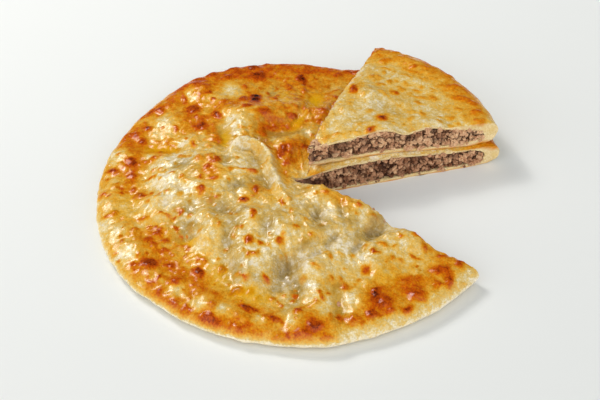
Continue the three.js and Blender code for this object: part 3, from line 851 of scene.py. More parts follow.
def add_piece(mesh, materials, node):
    """Puts a finished mesh in the scene, in the place of its CAD node."""
    for name in materials:
        mesh.materials.append(bpy.data.materials[name])
    piece = bpy.data.objects.new("visual_" + node, mesh)
    bpy.context.scene.collection.objects.link(piece)
    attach(piece, "root")
    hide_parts(node)


# ---------------------------------------------------------------- crust

# Levels of the rim, from its foot, 0, to its crest, 1, between which something sets in
RELIEF_LEVELS = (0.45, 0.98)
TOAST_LEVELS = (0.47, 0.9)
DENT_LEVELS = (0.02, 0.2)
CREST_LEVELS = (0.8, 1)
BASE_LEVELS = (0.0, 0.2)

CUT_RAGGEDNESS = 0.8
CUT_SOFTNESS = 2.5
CUT_SAG = 1.3
DENT_DEPTH = 1.1
TIP_LENGTH = 8.0
TIP_SAG = 0.35
UNDERSIDE_TOAST = 0.42


def flat_crust(pie, part, node):
    """The two shells and the cut faces of a crust, still flat."""
    bm = bmesh.new()
    marks = Marks(bm)
    sweep_shell(bm, marks, pie, part, crust_chain(part.radius, part.ring_step), SKIN_CUTS, 0.0)
    sweep_shell(bm, marks, pie, part, hollow_chain(part.lens), 0, 1.0)
    cap_faces = close_shell(bm, marks, part.wedge)
    for face in bm.faces:
        face.material_index = 1 if all(v[marks.inside] > 0.5 for v in face.verts) else 0
        face.smooth = True
    for face in cap_faces:
        face.material_index = 1
        face.smooth = False
    bmesh.ops.recalc_face_normals(bm, faces=bm.faces)
    return mesh_of(bm, node)


def ragged(cuts, x, y, z):
    """Moves what lies near an open cut off its plane a little, and says how near it is."""
    near = np.zeros_like(x)
    shift_x, shift_y = np.zeros_like(x), np.zeros_like(x)
    for number, cut in enumerate(cuts):
        if not cut.open:
            continue
        run = run_along(cut, x, y)
        share = bell(np.abs(distance_to(cut, x, y)) / CUT_SOFTNESS) * (run > -1)
        push = CUT_RAGGEDNESS * share * ripple(run, z, 5.5, 31.7 + number)
        push += 0.6 * CUT_RAGGEDNESS * share * ripple(run, z, 2.2, 41.3 + number)
        push *= smoothstep(run, 0, 6)
        ahead = heading(cut.heading)
        shift_x -= push * ahead[1]
        shift_y += push * ahead[0]
        near = np.maximum(near, share)
    return x + shift_x, y + shift_y, near


def make_crust(pie, part):
    """A crust piece: its skin, the hollow for the filling and the cut faces between them."""
    node = part.name + "_crust"
    mesh = flat_crust(pie, part, node)
    wedge, skin = part.wedge, part.skin
    level, inside = read(mesh, "level"), read(mesh, "inside")
    place = wedge_places(mesh, wedge)
    x, y = place[:, 0], place[:, 1]
    outer = inside < 0.5
    rise, toast, hollow, butter = (np.zeros_like(x) for _ in range(4))
    rise[outer], toast[outer], hollow[outer], butter[outer] = skin.paint(x[outer], y[outer])

    layer = pie.dough * inside
    low = part.bottom(x, y) + layer
    high = part.top(x, y) - layer + np.where(outer, 0, skin.inner_rise(x, y))
    z = blend(low, high, level) + rise * (smoothstep(level, *RELIEF_LEVELS) * outer)
    wavy_x, wavy_y, near = ragged(wedge_cuts(wedge), x, y, z)
    z -= near * (CUT_SAG + 0.5 * ripple(x, y, 6, skin.seed + 33)) * (level > 0.9) * outer

    corner_reach = np.hypot(x - wedge.corner[0], y - wedge.corner[1])
    tip = bell(corner_reach / TIP_LENGTH) * (level > 0.6) * outer * part.pull
    middle = heading(wedge.start + wedge.sweep / 2)
    wavy_x += tip * middle[0]
    wavy_y += tip * middle[1]
    z -= TIP_SAG * tip

    side = smoothstep(level, *DENT_LEVELS) * (1 - smoothstep(level, *CREST_LEVELS)) * outer
    dent = DENT_DEPTH * side * ripple(np.degrees(np.arctan2(y, x)) * 2.8, z, 9, skin.seed + 29)
    reach = np.maximum(np.hypot(wavy_x, wavy_y), 1)
    wavy_x += dent * wavy_x / reach
    wavy_y += dent * wavy_y / reach
    set_places(mesh, *stretch_outline(pie, part.swells, wavy_x, wavy_y), z)

    underside = 1 - smoothstep(level, *BASE_LEVELS)
    flank = smoothstep(level, *TOAST_LEVELS)
    base_toast = UNDERSIDE_TOAST + 0.2 * ripple(x, y, 14, skin.seed + 37)
    base_toast += 0.12 * ripple(x, y, 5, skin.seed + 39)
    write(mesh, "toast", blend(0.04 + toast * flank, base_toast, underside) * outer)
    # The hollow mark: damp dough over the mince and painted shade in the dips
    write(mesh, "hollow", hollow * flank)
    write(mesh, "butter", butter * flank)
    add_piece(mesh, ["browned crust", "cut dough"], node)


# ---------------------------------------------------------------- filling

SECTION_ACROSS = 150
SECTION_UP = 20
GRAIN_VERTS = 42
GRAIN_STEP = 1.75
CLUMP = 6.4
CLUMP_ROWS = 8
TIP_CRUMBS = 90
TIP_REACH = 13
CUT_SETBACK = 2.5
# Painted shade on the filling's cut faces behind the crumbs, so the gaps between them look shadowed
BACK_SHADE = 0.7


class Face:
    """A cut face that shows: where it starts, its heading, how far it runs, which way is out, how
    far the mince has spilled over the dough and how much painted shade darkens it."""

    def __init__(self, point, heading_degrees, first, last, out, spill=0.0, painted_shade=0.0):
        self.point = np.array(point)
        self.ahead = heading(heading_degrees)
        self.first = first
        self.last = last
        self.out = np.array([-self.ahead[1], self.ahead[0]]) * out
        self.spill = spill
        self.painted_shade = painted_shade


def grain_template():
    """A small rough ball that every crumb of mince is made from."""
    bm = bmesh.new()
    bmesh.ops.create_icosphere(bm, subdivisions=2, radius=1)
    bm.verts.ensure_lookup_table()
    verts = np.array([v.co for v in bm.verts])
    faces = np.array([[v.index for v in f.verts] for f in bm.faces])
    bm.free()
    return verts, faces


def random_turns(rng, count):
    """Rotation matrices of random turns, from random quaternions."""
    q = rng.normal(size=(count, 4))
    q /= np.linalg.norm(q, axis=1)[:, None]
    w, x, y, z = q.T
    return np.stack([
        np.stack([1 - 2 * (y * y + z * z), 2 * (x * y - z * w), 2 * (x * z + y * w)], 1),
        np.stack([2 * (x * y + z * w), 1 - 2 * (x * x + z * z), 2 * (y * z - x * w)], 1),
        np.stack([2 * (x * z - y * w), 2 * (y * z + x * w), 1 - 2 * (x * x + y * y)], 1),
    ], 1)


def crumbs_at(places, sizes, rng):
    """Rough, randomly turned crumbs of the given sizes at the given places."""
    verts, faces = grain_template()
    count = len(places)
    shape = np.stack([sizes * rng.uniform(0.95, 1.45, count), sizes * rng.uniform(0.7, 1.0, count),
                      sizes * rng.uniform(0.7, 1.05, count)], 1)
    rough = 1 + 0.24 * rng.normal(size=(count, GRAIN_VERTS, 1))
    local = verts[None] * rough * shape[:, None, :]
    turned = np.einsum("nij,nkj->nki", random_turns(rng, count), local)
    placed = (turned + places[:, None, :]).reshape(-1, 3)
    index = (faces[None] + (np.arange(count) * GRAIN_VERTS)[:, None, None]).reshape(-1, 3)
    return placed, index


def clump_field(run, z, length, seed):
    """For places on a cut face: a number for the clump each lies in, and how near a gap it is."""
    rng = np.random.default_rng(seed)
    columns = int(length / CLUMP) + 3
    count = columns * CLUMP_ROWS
    grid_run, grid_z = np.meshgrid(np.arange(columns) * CLUMP - CLUMP, np.arange(CLUMP_ROWS) * CLUMP)
    centre_run = grid_run.ravel() + rng.uniform(-0.45, 0.45, count) * CLUMP
    centre_z = grid_z.ravel() + rng.uniform(-0.45, 0.45, count) * CLUMP + z.min() - CLUMP / 2
    away = np.hypot(run[:, None] - centre_run[None], z[:, None] - centre_z[None])
    nearest = np.argsort(away, axis=1)[:, :2]
    first = np.take_along_axis(away, nearest, 1)
    gap = 1 - smoothstep(first[:, 1] - first[:, 0], 0.3, 2.2)
    return rng.random(count)[nearest[:, 0]], gap


def crumb_rows(pie, part, face, seed, rng):
    """Where crumbs sit on a cut face: how far along it, how high, and how much room each has."""
    runs, heights, rooms = [], [], []
    for column in range(int((face.last - face.first) / GRAIN_STEP)):
        run = face.first + (column + 0.5) * GRAIN_STEP
        x, y = np.split(face.point + run * face.ahead, 2)
        thin, thick = (float(edge[0]) for edge in hollow_edge(part.lens, np.hypot(x, y)))
        floor = float(part.bottom(x, y)[0]) + pie.dough
        roof = float((part.top(x, y) + part.skin.inner_rise(x, y))[0]) - pie.dough
        low, high = blend(floor, roof, thin), blend(floor, roof, thick)
        under = face.spill * max(0.0, 0.8 + 2.4 * noise.noise((run / 9, 0.0, seed)))
        over = 0.3 * face.spill * max(0.0, 0.3 + 2.0 * noise.noise((run / 7, 9.0, seed)))
        rows = max(1, round((high - low) / GRAIN_STEP))
        for row in range(rows):
            share = (row + 0.5 + rng.uniform(-0.42, 0.42)) / rows
            runs.append(run + rng.uniform(-0.5, 0.5) * GRAIN_STEP)
            heights.append(low - under + (high - low + under + over) * share)
            rooms.append(np.clip((high - low) / (2 * GRAIN_STEP), 0.3, 1))
    return np.array(runs), np.array(heights), np.array(rooms)


def crumbs_on(pie, part, face, seed, rng):
    """Vertices, faces and tones of the crumbs that stand out of a cut face of the filling."""
    runs, heights, rooms = crumb_rows(pie, part, face, seed, rng)
    count = len(runs)
    clump, gap = clump_field(runs, heights, face.last, seed)
    hole = smoothstep(ripple(runs, heights, 8, seed + 0.5), 0.12, 0.42)
    depth = -0.5 + 2.2 * (clump - 0.5) - 1.7 * gap - 0.9 * hole + rng.uniform(-0.6, 0.6, count)
    sizes = np.clip(rng.lognormal(0.19, 0.32, count), 0.75, 2.2) * rooms * (1 - 0.2 * gap)
    places = face.point + runs[:, None] * face.ahead + depth[:, None] * face.out
    placed, index = crumbs_at(np.concatenate([places, heights[:, None]], 1), sizes, rng)
    placed[:, 2] = np.maximum(placed[:, 2], 0)
    # Painted light and shade: crumbs of clumps that stand out are lighter, and crumbs set further in, in
    # gaps or holes, get painted shade
    tone = np.repeat(0.12 + 0.5 * clump + 0.45 * rng.random(count) - face.painted_shade, GRAIN_VERTS)
    out = (placed[:, :2] - face.point) @ face.out
    shade = np.clip(face.painted_shade - 0.16 * out + np.repeat(0.34 * gap + 0.26 * hole, GRAIN_VERTS), 0, 1)
    return placed, index, tone, shade


def crumbs_at_tip(pie, part, rng):
    """Crumbs on the bare filling at the tip of a wedge, where the top dough has drawn back."""
    wedge = part.wedge
    reach = rng.uniform(1, TIP_REACH, TIP_CRUMBS)
    turn = np.radians(wedge.start + wedge.sweep * rng.uniform(0.02, 0.98, TIP_CRUMBS))
    x = wedge.corner[0] + reach * np.cos(turn)
    y = wedge.corner[1] + reach * np.sin(turn)
    z = part.top(x, y) - pie.dough - rng.uniform(0.2, 1.6, TIP_CRUMBS) - 3.0 * np.exp(-reach / 3)
    placed, index = crumbs_at(np.stack([x, y, z], 1), rng.uniform(1.0, 1.9, TIP_CRUMBS), rng)
    return placed, index, np.repeat(rng.random(TIP_CRUMBS), GRAIN_VERTS), np.full(len(placed), 0.12)


def drop_inner_wall(bm, faces):
    """Removes the faces that an extrusion has left inside the body."""
    bmesh.ops.delete(bm, geom=[face for face in faces if face.is_valid], context="FACES")


def flat_filling(pie, part, node):
    """The filling swept from its section along the wedge's tail and round its corner, still flat."""
    wedge, lens, strips = part.wedge, part.lens, part.filling_strips
    bm = bmesh.new()
    marks = Marks(bm)
    bmesh.ops.create_grid(bm, x_segments=SECTION_ACROSS, y_segments=SECTION_UP, size=1)
    ahead = heading(wedge.start)
    origin = np.array(wedge.corner) + wedge.tail
    for vert in bm.verts:
        distance = lens.reach * (vert.co.x + 1) / 2
        level = float(blend(*hollow_edge(lens, distance), (vert.co.y + 1) / 2))
        marks.put(vert, distance, level, 1.0)
        vert.co = (*(origin + distance * ahead), flat_height(pie, level, 1.0))
    verts, edges, front = list(bm.verts), list(bm.edges), list(bm.faces)
    for number in range(strips):
        made = bmesh.ops.extrude_face_region(bm, geom=front)["geom"]
        if number > 0:
            drop_inner_wall(bm, front)
        front = only(made, bmesh.types.BMFace)
        verts = only(made, bmesh.types.BMVert)
        edges = only(made, bmesh.types.BMEdge)
        bmesh.ops.translate(bm, vec=(*(-np.array(wedge.tail) / strips), 0), verts=verts)
    spin(bm, verts + edges + front, wedge, part.filling_steps)
    if strips > 0:
        drop_inner_wall(bm, front)
    bmesh.ops.remove_doubles(bm, verts=bm.verts, dist=MERGE)
    bmesh.ops.dissolve_degenerate(bm, edges=bm.edges, dist=MERGE)
    bmesh.ops.triangulate(bm, faces=[f for f in bm.faces if len(f.verts) > 4])
    bmesh.ops.recalc_face_normals(bm, faces=bm.faces)
    for face in bm.faces:
        face.smooth = True
    return mesh_of(bm, node)


def inward_side(wedge, cut):
    """1 where the solid lies left of the cut's heading, and -1 where it lies right of it."""
    middle = np.array(wedge.corner) + 50 * heading(wedge.start + wedge.sweep / 2)
    return 1.0 if distance_to(cut, *middle) > 0 else -1.0


def set_back_cuts(wedge, flat, x, y, z):
    """Draws the filling's cut faces back unevenly, in place, and says which vertices are on them."""
    on_cut = np.zeros(len(x))
    for number, cut in enumerate(wedge_cuts(wedge)):
        run = run_along(cut, x, y)
        near = (np.abs(distance_to(cut, flat[:, 0], flat[:, 1])) < 0.02) & (run > -0.5)
        push = CUT_SETBACK + 0.7 * np.abs(ripple(run, z, 2.6, 3.1 + number))
        push += 0.5 * ripple(run, z, 6.5, 5.3 + number)
        shift = inward_side(wedge, cut) * np.where(near, push * smoothstep(run, -1, 8) + 0.15, 0)
        ahead = heading(cut.heading)
        x -= shift * ahead[1]
        y += shift * ahead[0]
        on_cut = np.maximum(on_cut, near)
    return on_cut


def add_crumbs(pie, part, mesh, groups):
    """Joins groups of crumbs to the filling's mesh."""
    bm = bmesh.new()
    bm.from_mesh(mesh)
    tone_mark, shade_mark = bm.verts.layers.float["tone"], bm.verts.layers.float["shade"]
    for crumbs, index, tones, shades in groups:
        x, y = stretch_outline(pie, part.swells, crumbs[:, 0], crumbs[:, 1])
        verts = []
        for *place, tone, shade in zip(x * MM, y * MM, crumbs[:, 2] * MM, tones, shades):
            vert = bm.verts.new(place)
            vert[tone_mark] = tone
            vert[shade_mark] = shade
            verts.append(vert)
        for corners in index:
            bm.faces.new([verts[corner] for corner in corners])
    bm.to_mesh(mesh)
    bm.free()


def make_filling(pie, part):
    """The minced filling of a part: a swept lens with rough cut faces and loose crumbs on them."""
    node = part.name + "_filling"
    rng = np.random.default_rng(part.seed)
    mesh = flat_filling(pie, part, node)
    place = wedge_places(mesh, part.wedge)
    x, y = place[:, 0].copy(), place[:, 1].copy()
    roof = part.top(x, y) - pie.dough + part.skin.inner_rise(x, y)
    z = blend(part.bottom(x, y) + pie.dough, roof, read(mesh, "level"))
    on_cut = set_back_cuts(part.wedge, read(mesh, "co", 3), x, y, z)
    x, y = stretch_outline(pie, part.swells, x, y)
    write(mesh, "tone", 0.35 + 0.3 * ripple(x, y + z, 4, part.seed))
    # Painted shade on the cut faces of the lens, behind the crumbs
    write(mesh, "shade", BACK_SHADE * on_cut)
    set_places(mesh, x, y, z)
    groups = [crumbs_on(pie, part, face, part.seed + 10 * number, rng)
              for number, face in enumerate(part.faces)]
    if part.bare_tip:
        groups.append(crumbs_at_tip(pie, part, rng))
    add_crumbs(pie, part, mesh, groups)
    add_piece(mesh, ["minced meat"], node)


# ---------------------------------------------------------------- the three parts


def offset_point(point, degrees, distance):
    return tuple(np.array(point) + distance * heading(degrees))


def main_part(pie):
    """The main part, whose corner lies a little behind the tips of the slices."""
    corner = offset_point(SLICE_TIP, SLICE_START, -CORNER_SETBACK)
    back = SEEN_KERF / math.sin(math.radians(SLICE_END - SLICE_START))
    first = offset_point(SLICE_TIP, SLICE_START, -back)
    wedge = Wedge(corner, SLICE_END, 360 + SECTOR_START - SLICE_END, np.array(first) - corner, (False, True))
    faces = [Face(corner, SECTOR_START, 1, MAIN_LENS.reach, 1),
             Face(corner, SLICE_START, 0.5, CORNER_SETBACK - 1, -1)]
    return Part("main", "browned_crust", wedge, pie.radius, RIM_SWELLS, pie.ground, pie.top, main_skin(pie),
                MAIN_LENS, ring_step=pie.skin_step, crust_steps=58, crust_strips=7, filling_steps=36,
                filling_strips=4, pull=0.0, faces=faces, seed=21)


def lower_part(pie):
    """The wedge that is still in its place."""
    wedge = Wedge(SLICE_TIP, SLICE_START, SLICE_END - SLICE_START, np.zeros(2), (True, False))
    # The mince of this face is darkened by painted shade
    faces = [Face(SLICE_TIP, SLICE_START, 0.5, MAIN_LENS.reach, -1, 0.9, 0.18)]
    return Part("lower_slice", "slice_crust", wedge, pie.radius, RIM_SWELLS, pie.ground, pie.top,
                lower_skin(pie), MAIN_LENS, ring_step=1.4, crust_steps=17, crust_strips=0, filling_steps=12,
                filling_strips=0, pull=0.0, faces=faces, seed=22)


def upper_part(pie):
    """The wedge that rests on top. Its top dough has drawn back from its tip."""
    wedge = Wedge(UPPER_TIP, UPPER_START, SLICE_END - UPPER_START, np.zeros(2), (True, True))
    faces = [Face(UPPER_TIP, UPPER_START, 0.5, UPPER_LENS.reach, -1, 1.5),
             Face(UPPER_TIP, SLICE_END, 0.5, UPPER_LENS.reach, 1, 0.3)]
    return Part("upper_slice", "slice_crust", wedge, UPPER_RADIUS, UPPER_SWELLS, pie.wedge_base,
                pie.wedge_top, upper_skin(pie), UPPER_LENS, ring_step=1.2, crust_steps=17, crust_strips=0,
                filling_steps=12, filling_strips=0, pull=8.5, faces=faces, seed=23, bare_tip=True)


# ---------------------------------------------------------------- materials


def solid(colour):
    return (*colour, 1)


class Nodes:
    """Adds and links the shader nodes of one material."""

    def __init__(self, name):
        self.material = bpy.data.materials.new(name)
        self.material.use_nodes = True
        self.tree = self.material.node_tree
        self.shader = self.tree.nodes["Principled BSDF"]

    def add(self, kind, inputs=None, **settings):
        made = self.tree.nodes.new(kind)
        for key, value in settings.items():
            setattr(made, key, value)
        for key, value in (inputs or {}).items():
            self.put(made.inputs[key], value)
        return made

    def put(self, socket, value):
        if isinstance(value, bpy.types.NodeSocket):
            self.tree.links.new(value, socket)
        else:
            socket.default_value = value

    def finish(self, name, value):
        self.put(self.shader.inputs[name], value)

    def attribute(self, name):
        return self.add("ShaderNodeAttribute", attribute_name=name).outputs["Fac"]

    def noise(self, size, detail=2.0, rough=0.5, warp=0.0):
        coords = self.add("ShaderNodeTexCoord").outputs["Object"]
        return self.add("ShaderNodeTexNoise", {
            "Vector": coords, "Scale": 1 / (size * MM), "Detail": detail, "Roughness": rough,
            "Distortion": warp}).outputs["Fac"]

    def voronoi(self, size):
        coords = self.add("ShaderNodeTexCoord").outputs["Object"]
        return self.add("ShaderNodeTexVoronoi", {
            "Vector": coords, "Scale": 1 / (size * MM)}).outputs["Distance"]

    def math(self, operation, first, second, clamp=False):
        made = self.add("ShaderNodeMath", operation=operation, use_clamp=clamp)
        self.put(made.inputs[0], first)
        self.put(made.inputs[1], second)
        return made.outputs[0]

    def spread(self, value, low, high, to_low=0.0, to_high=1.0):
        return self.add("ShaderNodeMapRange", {
            "Value": value, "From Min": low, "From Max": high,
            "To Min": to_low, "To Max": to_high}).outputs["Result"]

    def mix(self, share, first, second, **settings):
        made = self.add("ShaderNodeMix", data_type="RGBA", clamp_factor=True, **settings)
        for socket, value in (("Factor", share), (6, first), (7, second)):
            self.put(made.inputs[socket], value)
        return made.outputs[2]

    def ramp(self, value, stops):
        made = self.add("ShaderNodeValToRGB", {"Fac": value})
        elements = made.color_ramp.elements
        while len(elements) < len(stops):
            elements.new(0.5)
        for element, (position, colour) in zip(elements, stops):
            element.position = position
            element.color = solid(colour)
        return made.outputs["Color"]

    def bump(self, height, distance, strength):
        return self.add("ShaderNodeBump", {
            "Height": height, "Distance": distance * MM, "Strength": strength}).outputs["Normal"]


def crust_colour(make, toast, hollow, butter, colours):
    """The tone for each degree of toast, greenish in the hollows, which are damp dough and painted
    shade, and yellow under butter.
    """
    baked = make.ramp(toast, [
        (0.03, colours.milk), (0.1, colours.cream), (0.18, colours.straw), (0.33, colours.gold),
        (0.52, colours.amber), (0.73, colours.brown), (0.91, colours.scorched), (1.0, colours.char)])
    damp_and_shaded = make.mix(hollow, baked, solid(colours.hollow))
    soaked = make.mix(make.spread(butter, 0.05, 1.0, 0.0, 0.9), damp_and_shaded, solid(colours.butter))
    dapple = make.spread(make.noise(1.9, 4, 0.7), 0.35, 0.65, 0.92, 1.13)
    return make.mix(1.0, soaked, dapple, blend_type="MULTIPLY", clamp_result=False)


def crust_texture(make, butter):
    """Wrinkles, creases, crumb and beads of the skin, which standing butter fills."""
    wrinkles = make.math("MULTIPLY", make.noise(3.6, 2, 0.5, 0.6), 0.5)
    creases = make.math("ABSOLUTE", make.math("SUBTRACT", make.noise(1.9, 2, 0.55, 0.4), 0.5), 0)
    crumb = make.noise(0.8, 2, 0.6)
    beads = make.spread(make.voronoi(2.4), 0.0, 0.28, 1.0, 0.0)
    height = make.math("ADD", wrinkles, make.math("MULTIPLY", crumb, 0.15))
    height = make.math("ADD", height, make.math("MULTIPLY", creases, 0.75))
    height = make.math("ADD", height, make.math("MULTIPLY", beads, 0.2))
    return make.math("MULTIPLY", height, make.spread(butter, 0.3, 0.9, 1.0, 0.15))


def crust_material(colours):
    """Baked dough under melted butter, toasted by its attribute."""
    make = Nodes("browned crust")
    fine = make.noise(1.5, 3, 0.6)
    mottle = make.noise(4.5, 3, 0.6, 0.5)
    base = make.attribute("toast")
    reach = make.spread(base, 0.05, 0.4, 0.7, 1.0)
    toast = base
    for texture, low, high, change in ((mottle, 0.3, 0.7, 0.11), (fine, 0.32, 0.68, 0.08)):
        freckle = make.math("MULTIPLY", make.spread(texture, low, high, -change, change), reach)
        toast = make.math("ADD", toast, freckle, clamp=texture == fine)
    # Painted shade: the hollow mark darkens damp dough and the dips, broken up by the mottle
    hollow = make.math("MULTIPLY", make.attribute("hollow"), make.spread(mottle, 0.2, 0.6, 0.55, 1.0))
    butter = make.attribute("butter")
    make.finish("Base Color", crust_colour(make, toast, hollow, butter, colours))
    make.finish("Roughness", make.spread(make.noise(4, 2), 0.3, 0.7, 0.35, 0.55))
    make.finish("Specular IOR Level", 0.0)
    make.finish("Normal", make.bump(crust_texture(make, butter), 1.5, 1.0))
    make.finish("Coat Weight", make.spread(toast, 0.35, 0.75, 0.85, 0.5))
    make.finish("Coat Roughness", make.spread(make.noise(3.0, 2), 0.35, 0.65, 0.09, 0.28))
    make.finish("Coat IOR", 1.45)


def dough_material(colours):
    """The pale crumb of the dough where it is cut, browned just under its skin."""
    make = Nodes("cut dough")
    pores = make.noise(1.1, 3, 0.6)
    broad = make.noise(6, 2)
    crumb = make.mix(make.spread(pores, 0.35, 0.6), solid(colours.crumb_shade), solid(colours.crumb))
    crumb = make.mix(make.spread(broad, 0.45, 0.75, 0.0, 0.6), crumb, solid(colours.straw))
    skin = make.math("ADD", make.attribute("toast"), make.spread(pores, 0.3, 0.7, -0.08, 0.08))
    make.finish("Base Color", make.mix(make.spread(skin, 0.22, 0.5), crumb, solid(colours.amber)))
    make.finish("Roughness", make.spread(pores, 0.3, 0.7, 0.55, 0.8))
    make.finish("Normal", make.bump(pores, 0.8, 0.7))
    make.finish("Specular IOR Level", 0.3)


def meat_material(colours):
    """Cooked minced meat, darker in its crevices by painted shade, and moist on the crumbs."""
    make = Nodes("minced meat")
    fibre = make.noise(1.3, 3, 0.6)
    tone = make.math("ADD", make.attribute("tone"), make.spread(fibre, 0.3, 0.7, -0.25, 0.25), clamp=True)
    meat = make.ramp(tone, [(0.0, colours.meat_dark), (0.5, colours.meat), (1.0, colours.meat_light)])
    # The shade mark mixes in the crevice colour: painted shade
    make.finish("Base Color", make.mix(make.attribute("shade"), meat, solid(colours.crevice)))
    make.finish("Roughness", make.spread(fibre, 0.3, 0.7, 0.4, 0.65))
    make.finish("Normal", make.bump(fibre, 0.6, 0.8))
    make.finish("Specular IOR Level", 0.35)


# ---------------------------------------------------------------- stage, in metres

CAMERA_PLACE = (-0.00295, -0.7542, 0.6794)
CAMERA_FALL = 42.22
CAMERA_ROLL = -1.86
CAMERA_LENS = 78.0
CAMERA_SENSOR = 36.0
CAMERA_NEAR = 0.01
LIGHT_FROM = (-0.50, 0.46, 0.73)
LIGHT_DISTANCE = 2.2
LIGHT_WIDTH = 1.0
LIGHT_HEIGHT = 0.8
LIGHT_COLOUR = (1.0, 0.98, 0.95)
LAMP_SIZE = 0.22
LAMP_SHARE = 0.3
DARK_WALL = (0.0, 0.80, 0.60)
DARK_FROM = 0.12
DARK_TO = 0.66
DARK_SHARE = 0.05
FLOOR_SIZE = 8.0


def link(name, data):
    thing = bpy.data.objects.new(name, data)
    bpy.context.scene.collection.objects.link(thing)
    return thing


def make_floor(colour):
    bm = bmesh.new()
    bmesh.ops.create_grid(bm, x_segments=8, y_segments=8, size=FLOOR_SIZE / 2)
    mesh = bpy.data.meshes.new("floor")
    bm.to_mesh(mesh)
    bm.free()
    link("floor", mesh)
    make = Nodes("plain floor")
    make.finish("Base Color", solid(colour))
    make.finish("Roughness", 0.8)
    make.finish("Specular IOR Level", 0.2)
    mesh.materials.append(make.material)


def add_light(name, width, height, power):
    light = bpy.data.lights.new(name, "AREA")
    light.shape = "RECTANGLE"
    light.size = width
    light.size_y = height
    light.energy = power
    light.color = LIGHT_COLOUR
    side = Vector(LIGHT_FROM).normalized()
    lamp = link(name, light)
    lamp.location = side * LIGHT_DISTANCE
    lamp.rotation_euler = side.to_track_quat("Z", "Y").to_euler()


def make_room(colour, strength):
    """Soft light from all round, dimmer from the wall behind the pie."""
    world = bpy.data.worlds.new("pale room")
    world.use_nodes = True
    nodes, links = world.node_tree.nodes, world.node_tree.links
    background = nodes["Background"]
    background.inputs["Color"].default_value = solid(colour)
    coords = nodes.new("ShaderNodeTexCoord")
    toward = nodes.new("ShaderNodeVectorMath")
    toward.operation = "DOT_PRODUCT"
    toward.inputs[1].default_value = DARK_WALL
    dimmed = nodes.new("ShaderNodeMapRange")
    dimmed.interpolation_type = "SMOOTHSTEP"
    for name, value in (("From Min", DARK_FROM), ("From Max", DARK_TO), ("To Min", strength),
                        ("To Max", strength * DARK_SHARE)):
        dimmed.inputs[name].default_value = value
    links.new(coords.outputs["Generated"], toward.inputs[0])
    links.new(toward.outputs["Value"], dimmed.inputs["Value"])
    links.new(dimmed.outputs["Result"], background.inputs["Strength"])
    bpy.context.scene.world = world
    bpy.context.scene.view_settings.view_transform = "Standard"


def make_camera():
    data = bpy.data.cameras.new("camera")
    data.lens = CAMERA_LENS
    data.sensor_width = CAMERA_SENSOR
    data.sensor_fit = "HORIZONTAL"
    data.clip_start = CAMERA_NEAR
    camera = link("camera", data)
    tilt = Matrix.Rotation(math.radians(90 - CAMERA_FALL), 4, "X")
    roll = Matrix.Rotation(math.radians(CAMERA_ROLL), 4, "Z")
    camera.matrix_world = Matrix.Translation(CAMERA_PLACE) @ tilt @ roll
    bpy.context.scene.camera = camera


# ---------------------------------------------------------------- the add-on


def length(label, about, default):
    return bpy.props.FloatProperty(name=label, description=about, default=default * MM, unit="LENGTH",
                                   min=0, precision=4)


def colour(label, about, default):
    return bpy.props.FloatVectorProperty(name=label, description=about, default=default, size=3,
                                         subtype="COLOR", min=0, max=1)


def srgb(red, green, blue):
    """Linear colour of an sRGB one, each part from 0 to 255."""
    parts = [part / 255 for part in (red, green, blue)]
    return tuple(part / 12.92 if part <= 0.04045 else ((part + 0.055) / 1.055) ** 2.4 for part in parts)


class PieSizes(bpy.types.PropertyGroup):
    radius: length("Radius", "Radius of the round pie", 161.5)
    rim_thickness: length("Rim thickness", "Thickness of the bare dough at the rim", 13)
    mound_thickness: length("Mound thickness", "Thickness over the filling", 26)
    dough: length("Dough", "Thickness of one layer of dough", 3)
    wedge_thickness: length("Wedge thickness", "Thickness of the wedge that rests on top", 21.5)
    skin_step: length("Skin step", "Distance between the rings of the top skin", 1.35)
    blister_rise: length("Blister rise", "Height of a large blister over the skin", 1.6)


class PieColours(bpy.types.PropertyGroup):
    milk: colour("Milk", "The palest dough", srgb(241, 227, 198))
    cream: colour("Cream", "Dough that stayed pale", srgb(230, 209, 158))
    straw: colour("Straw", "Dough that has just coloured", srgb(222, 186, 104))
    gold: colour("Gold", "Golden dough", srgb(224, 167, 56))
    amber: colour("Amber", "Well browned dough", srgb(212, 132, 12))
    brown: colour("Brown", "Brown blisters", srgb(190, 80, 5))
    scorched: colour("Scorched", "The darkest blisters", srgb(128, 44, 5))
    char: colour("Char", "Burnt tops of blisters", srgb(48, 16, 6))
    # Painted shade as well: the colour of the hollow mark, for damp dough and for dips in shadow
    hollow: colour("Hollow", "Wet thin dough over the filling", srgb(139, 110, 49))
    butter: colour("Butter", "Melted butter standing in a hollow", srgb(222, 166, 6))
    crumb: colour("Crumb", "Cut face of the dough", srgb(240, 218, 168))
    crumb_shade: colour("Crumb shade", "Pores of the cut dough", srgb(218, 184, 124))
    meat: colour("Meat", "Cooked minced meat", srgb(196, 144, 106))
    meat_light: colour("Light meat", "Fat and sinew in the mince", srgb(232, 192, 148))
    meat_dark: colour("Dark meat", "The darkest mince", srgb(128, 76, 42))
    # Painted shade: the colour that the shade mark mixes into the mince
    crevice: colour("Crevice", "Gaps between the crumbs of mince", srgb(60, 22, 7))


class PieStage(bpy.types.PropertyGroup):
    floor_colour: colour("Floor", "Colour of the plain floor", (0.83, 0.84, 0.82))
    room_colour: colour("Room", "Colour of the light from all round", (0.97, 0.99, 1.0))
    room_light: bpy.props.FloatProperty(name="Room light", default=1.39, min=0,
                                        description="Strength of the light from all round")
    light_power: bpy.props.FloatProperty(name="Light power", description="Power of the soft light",
                                         default=20.0, min=0, unit="POWER")


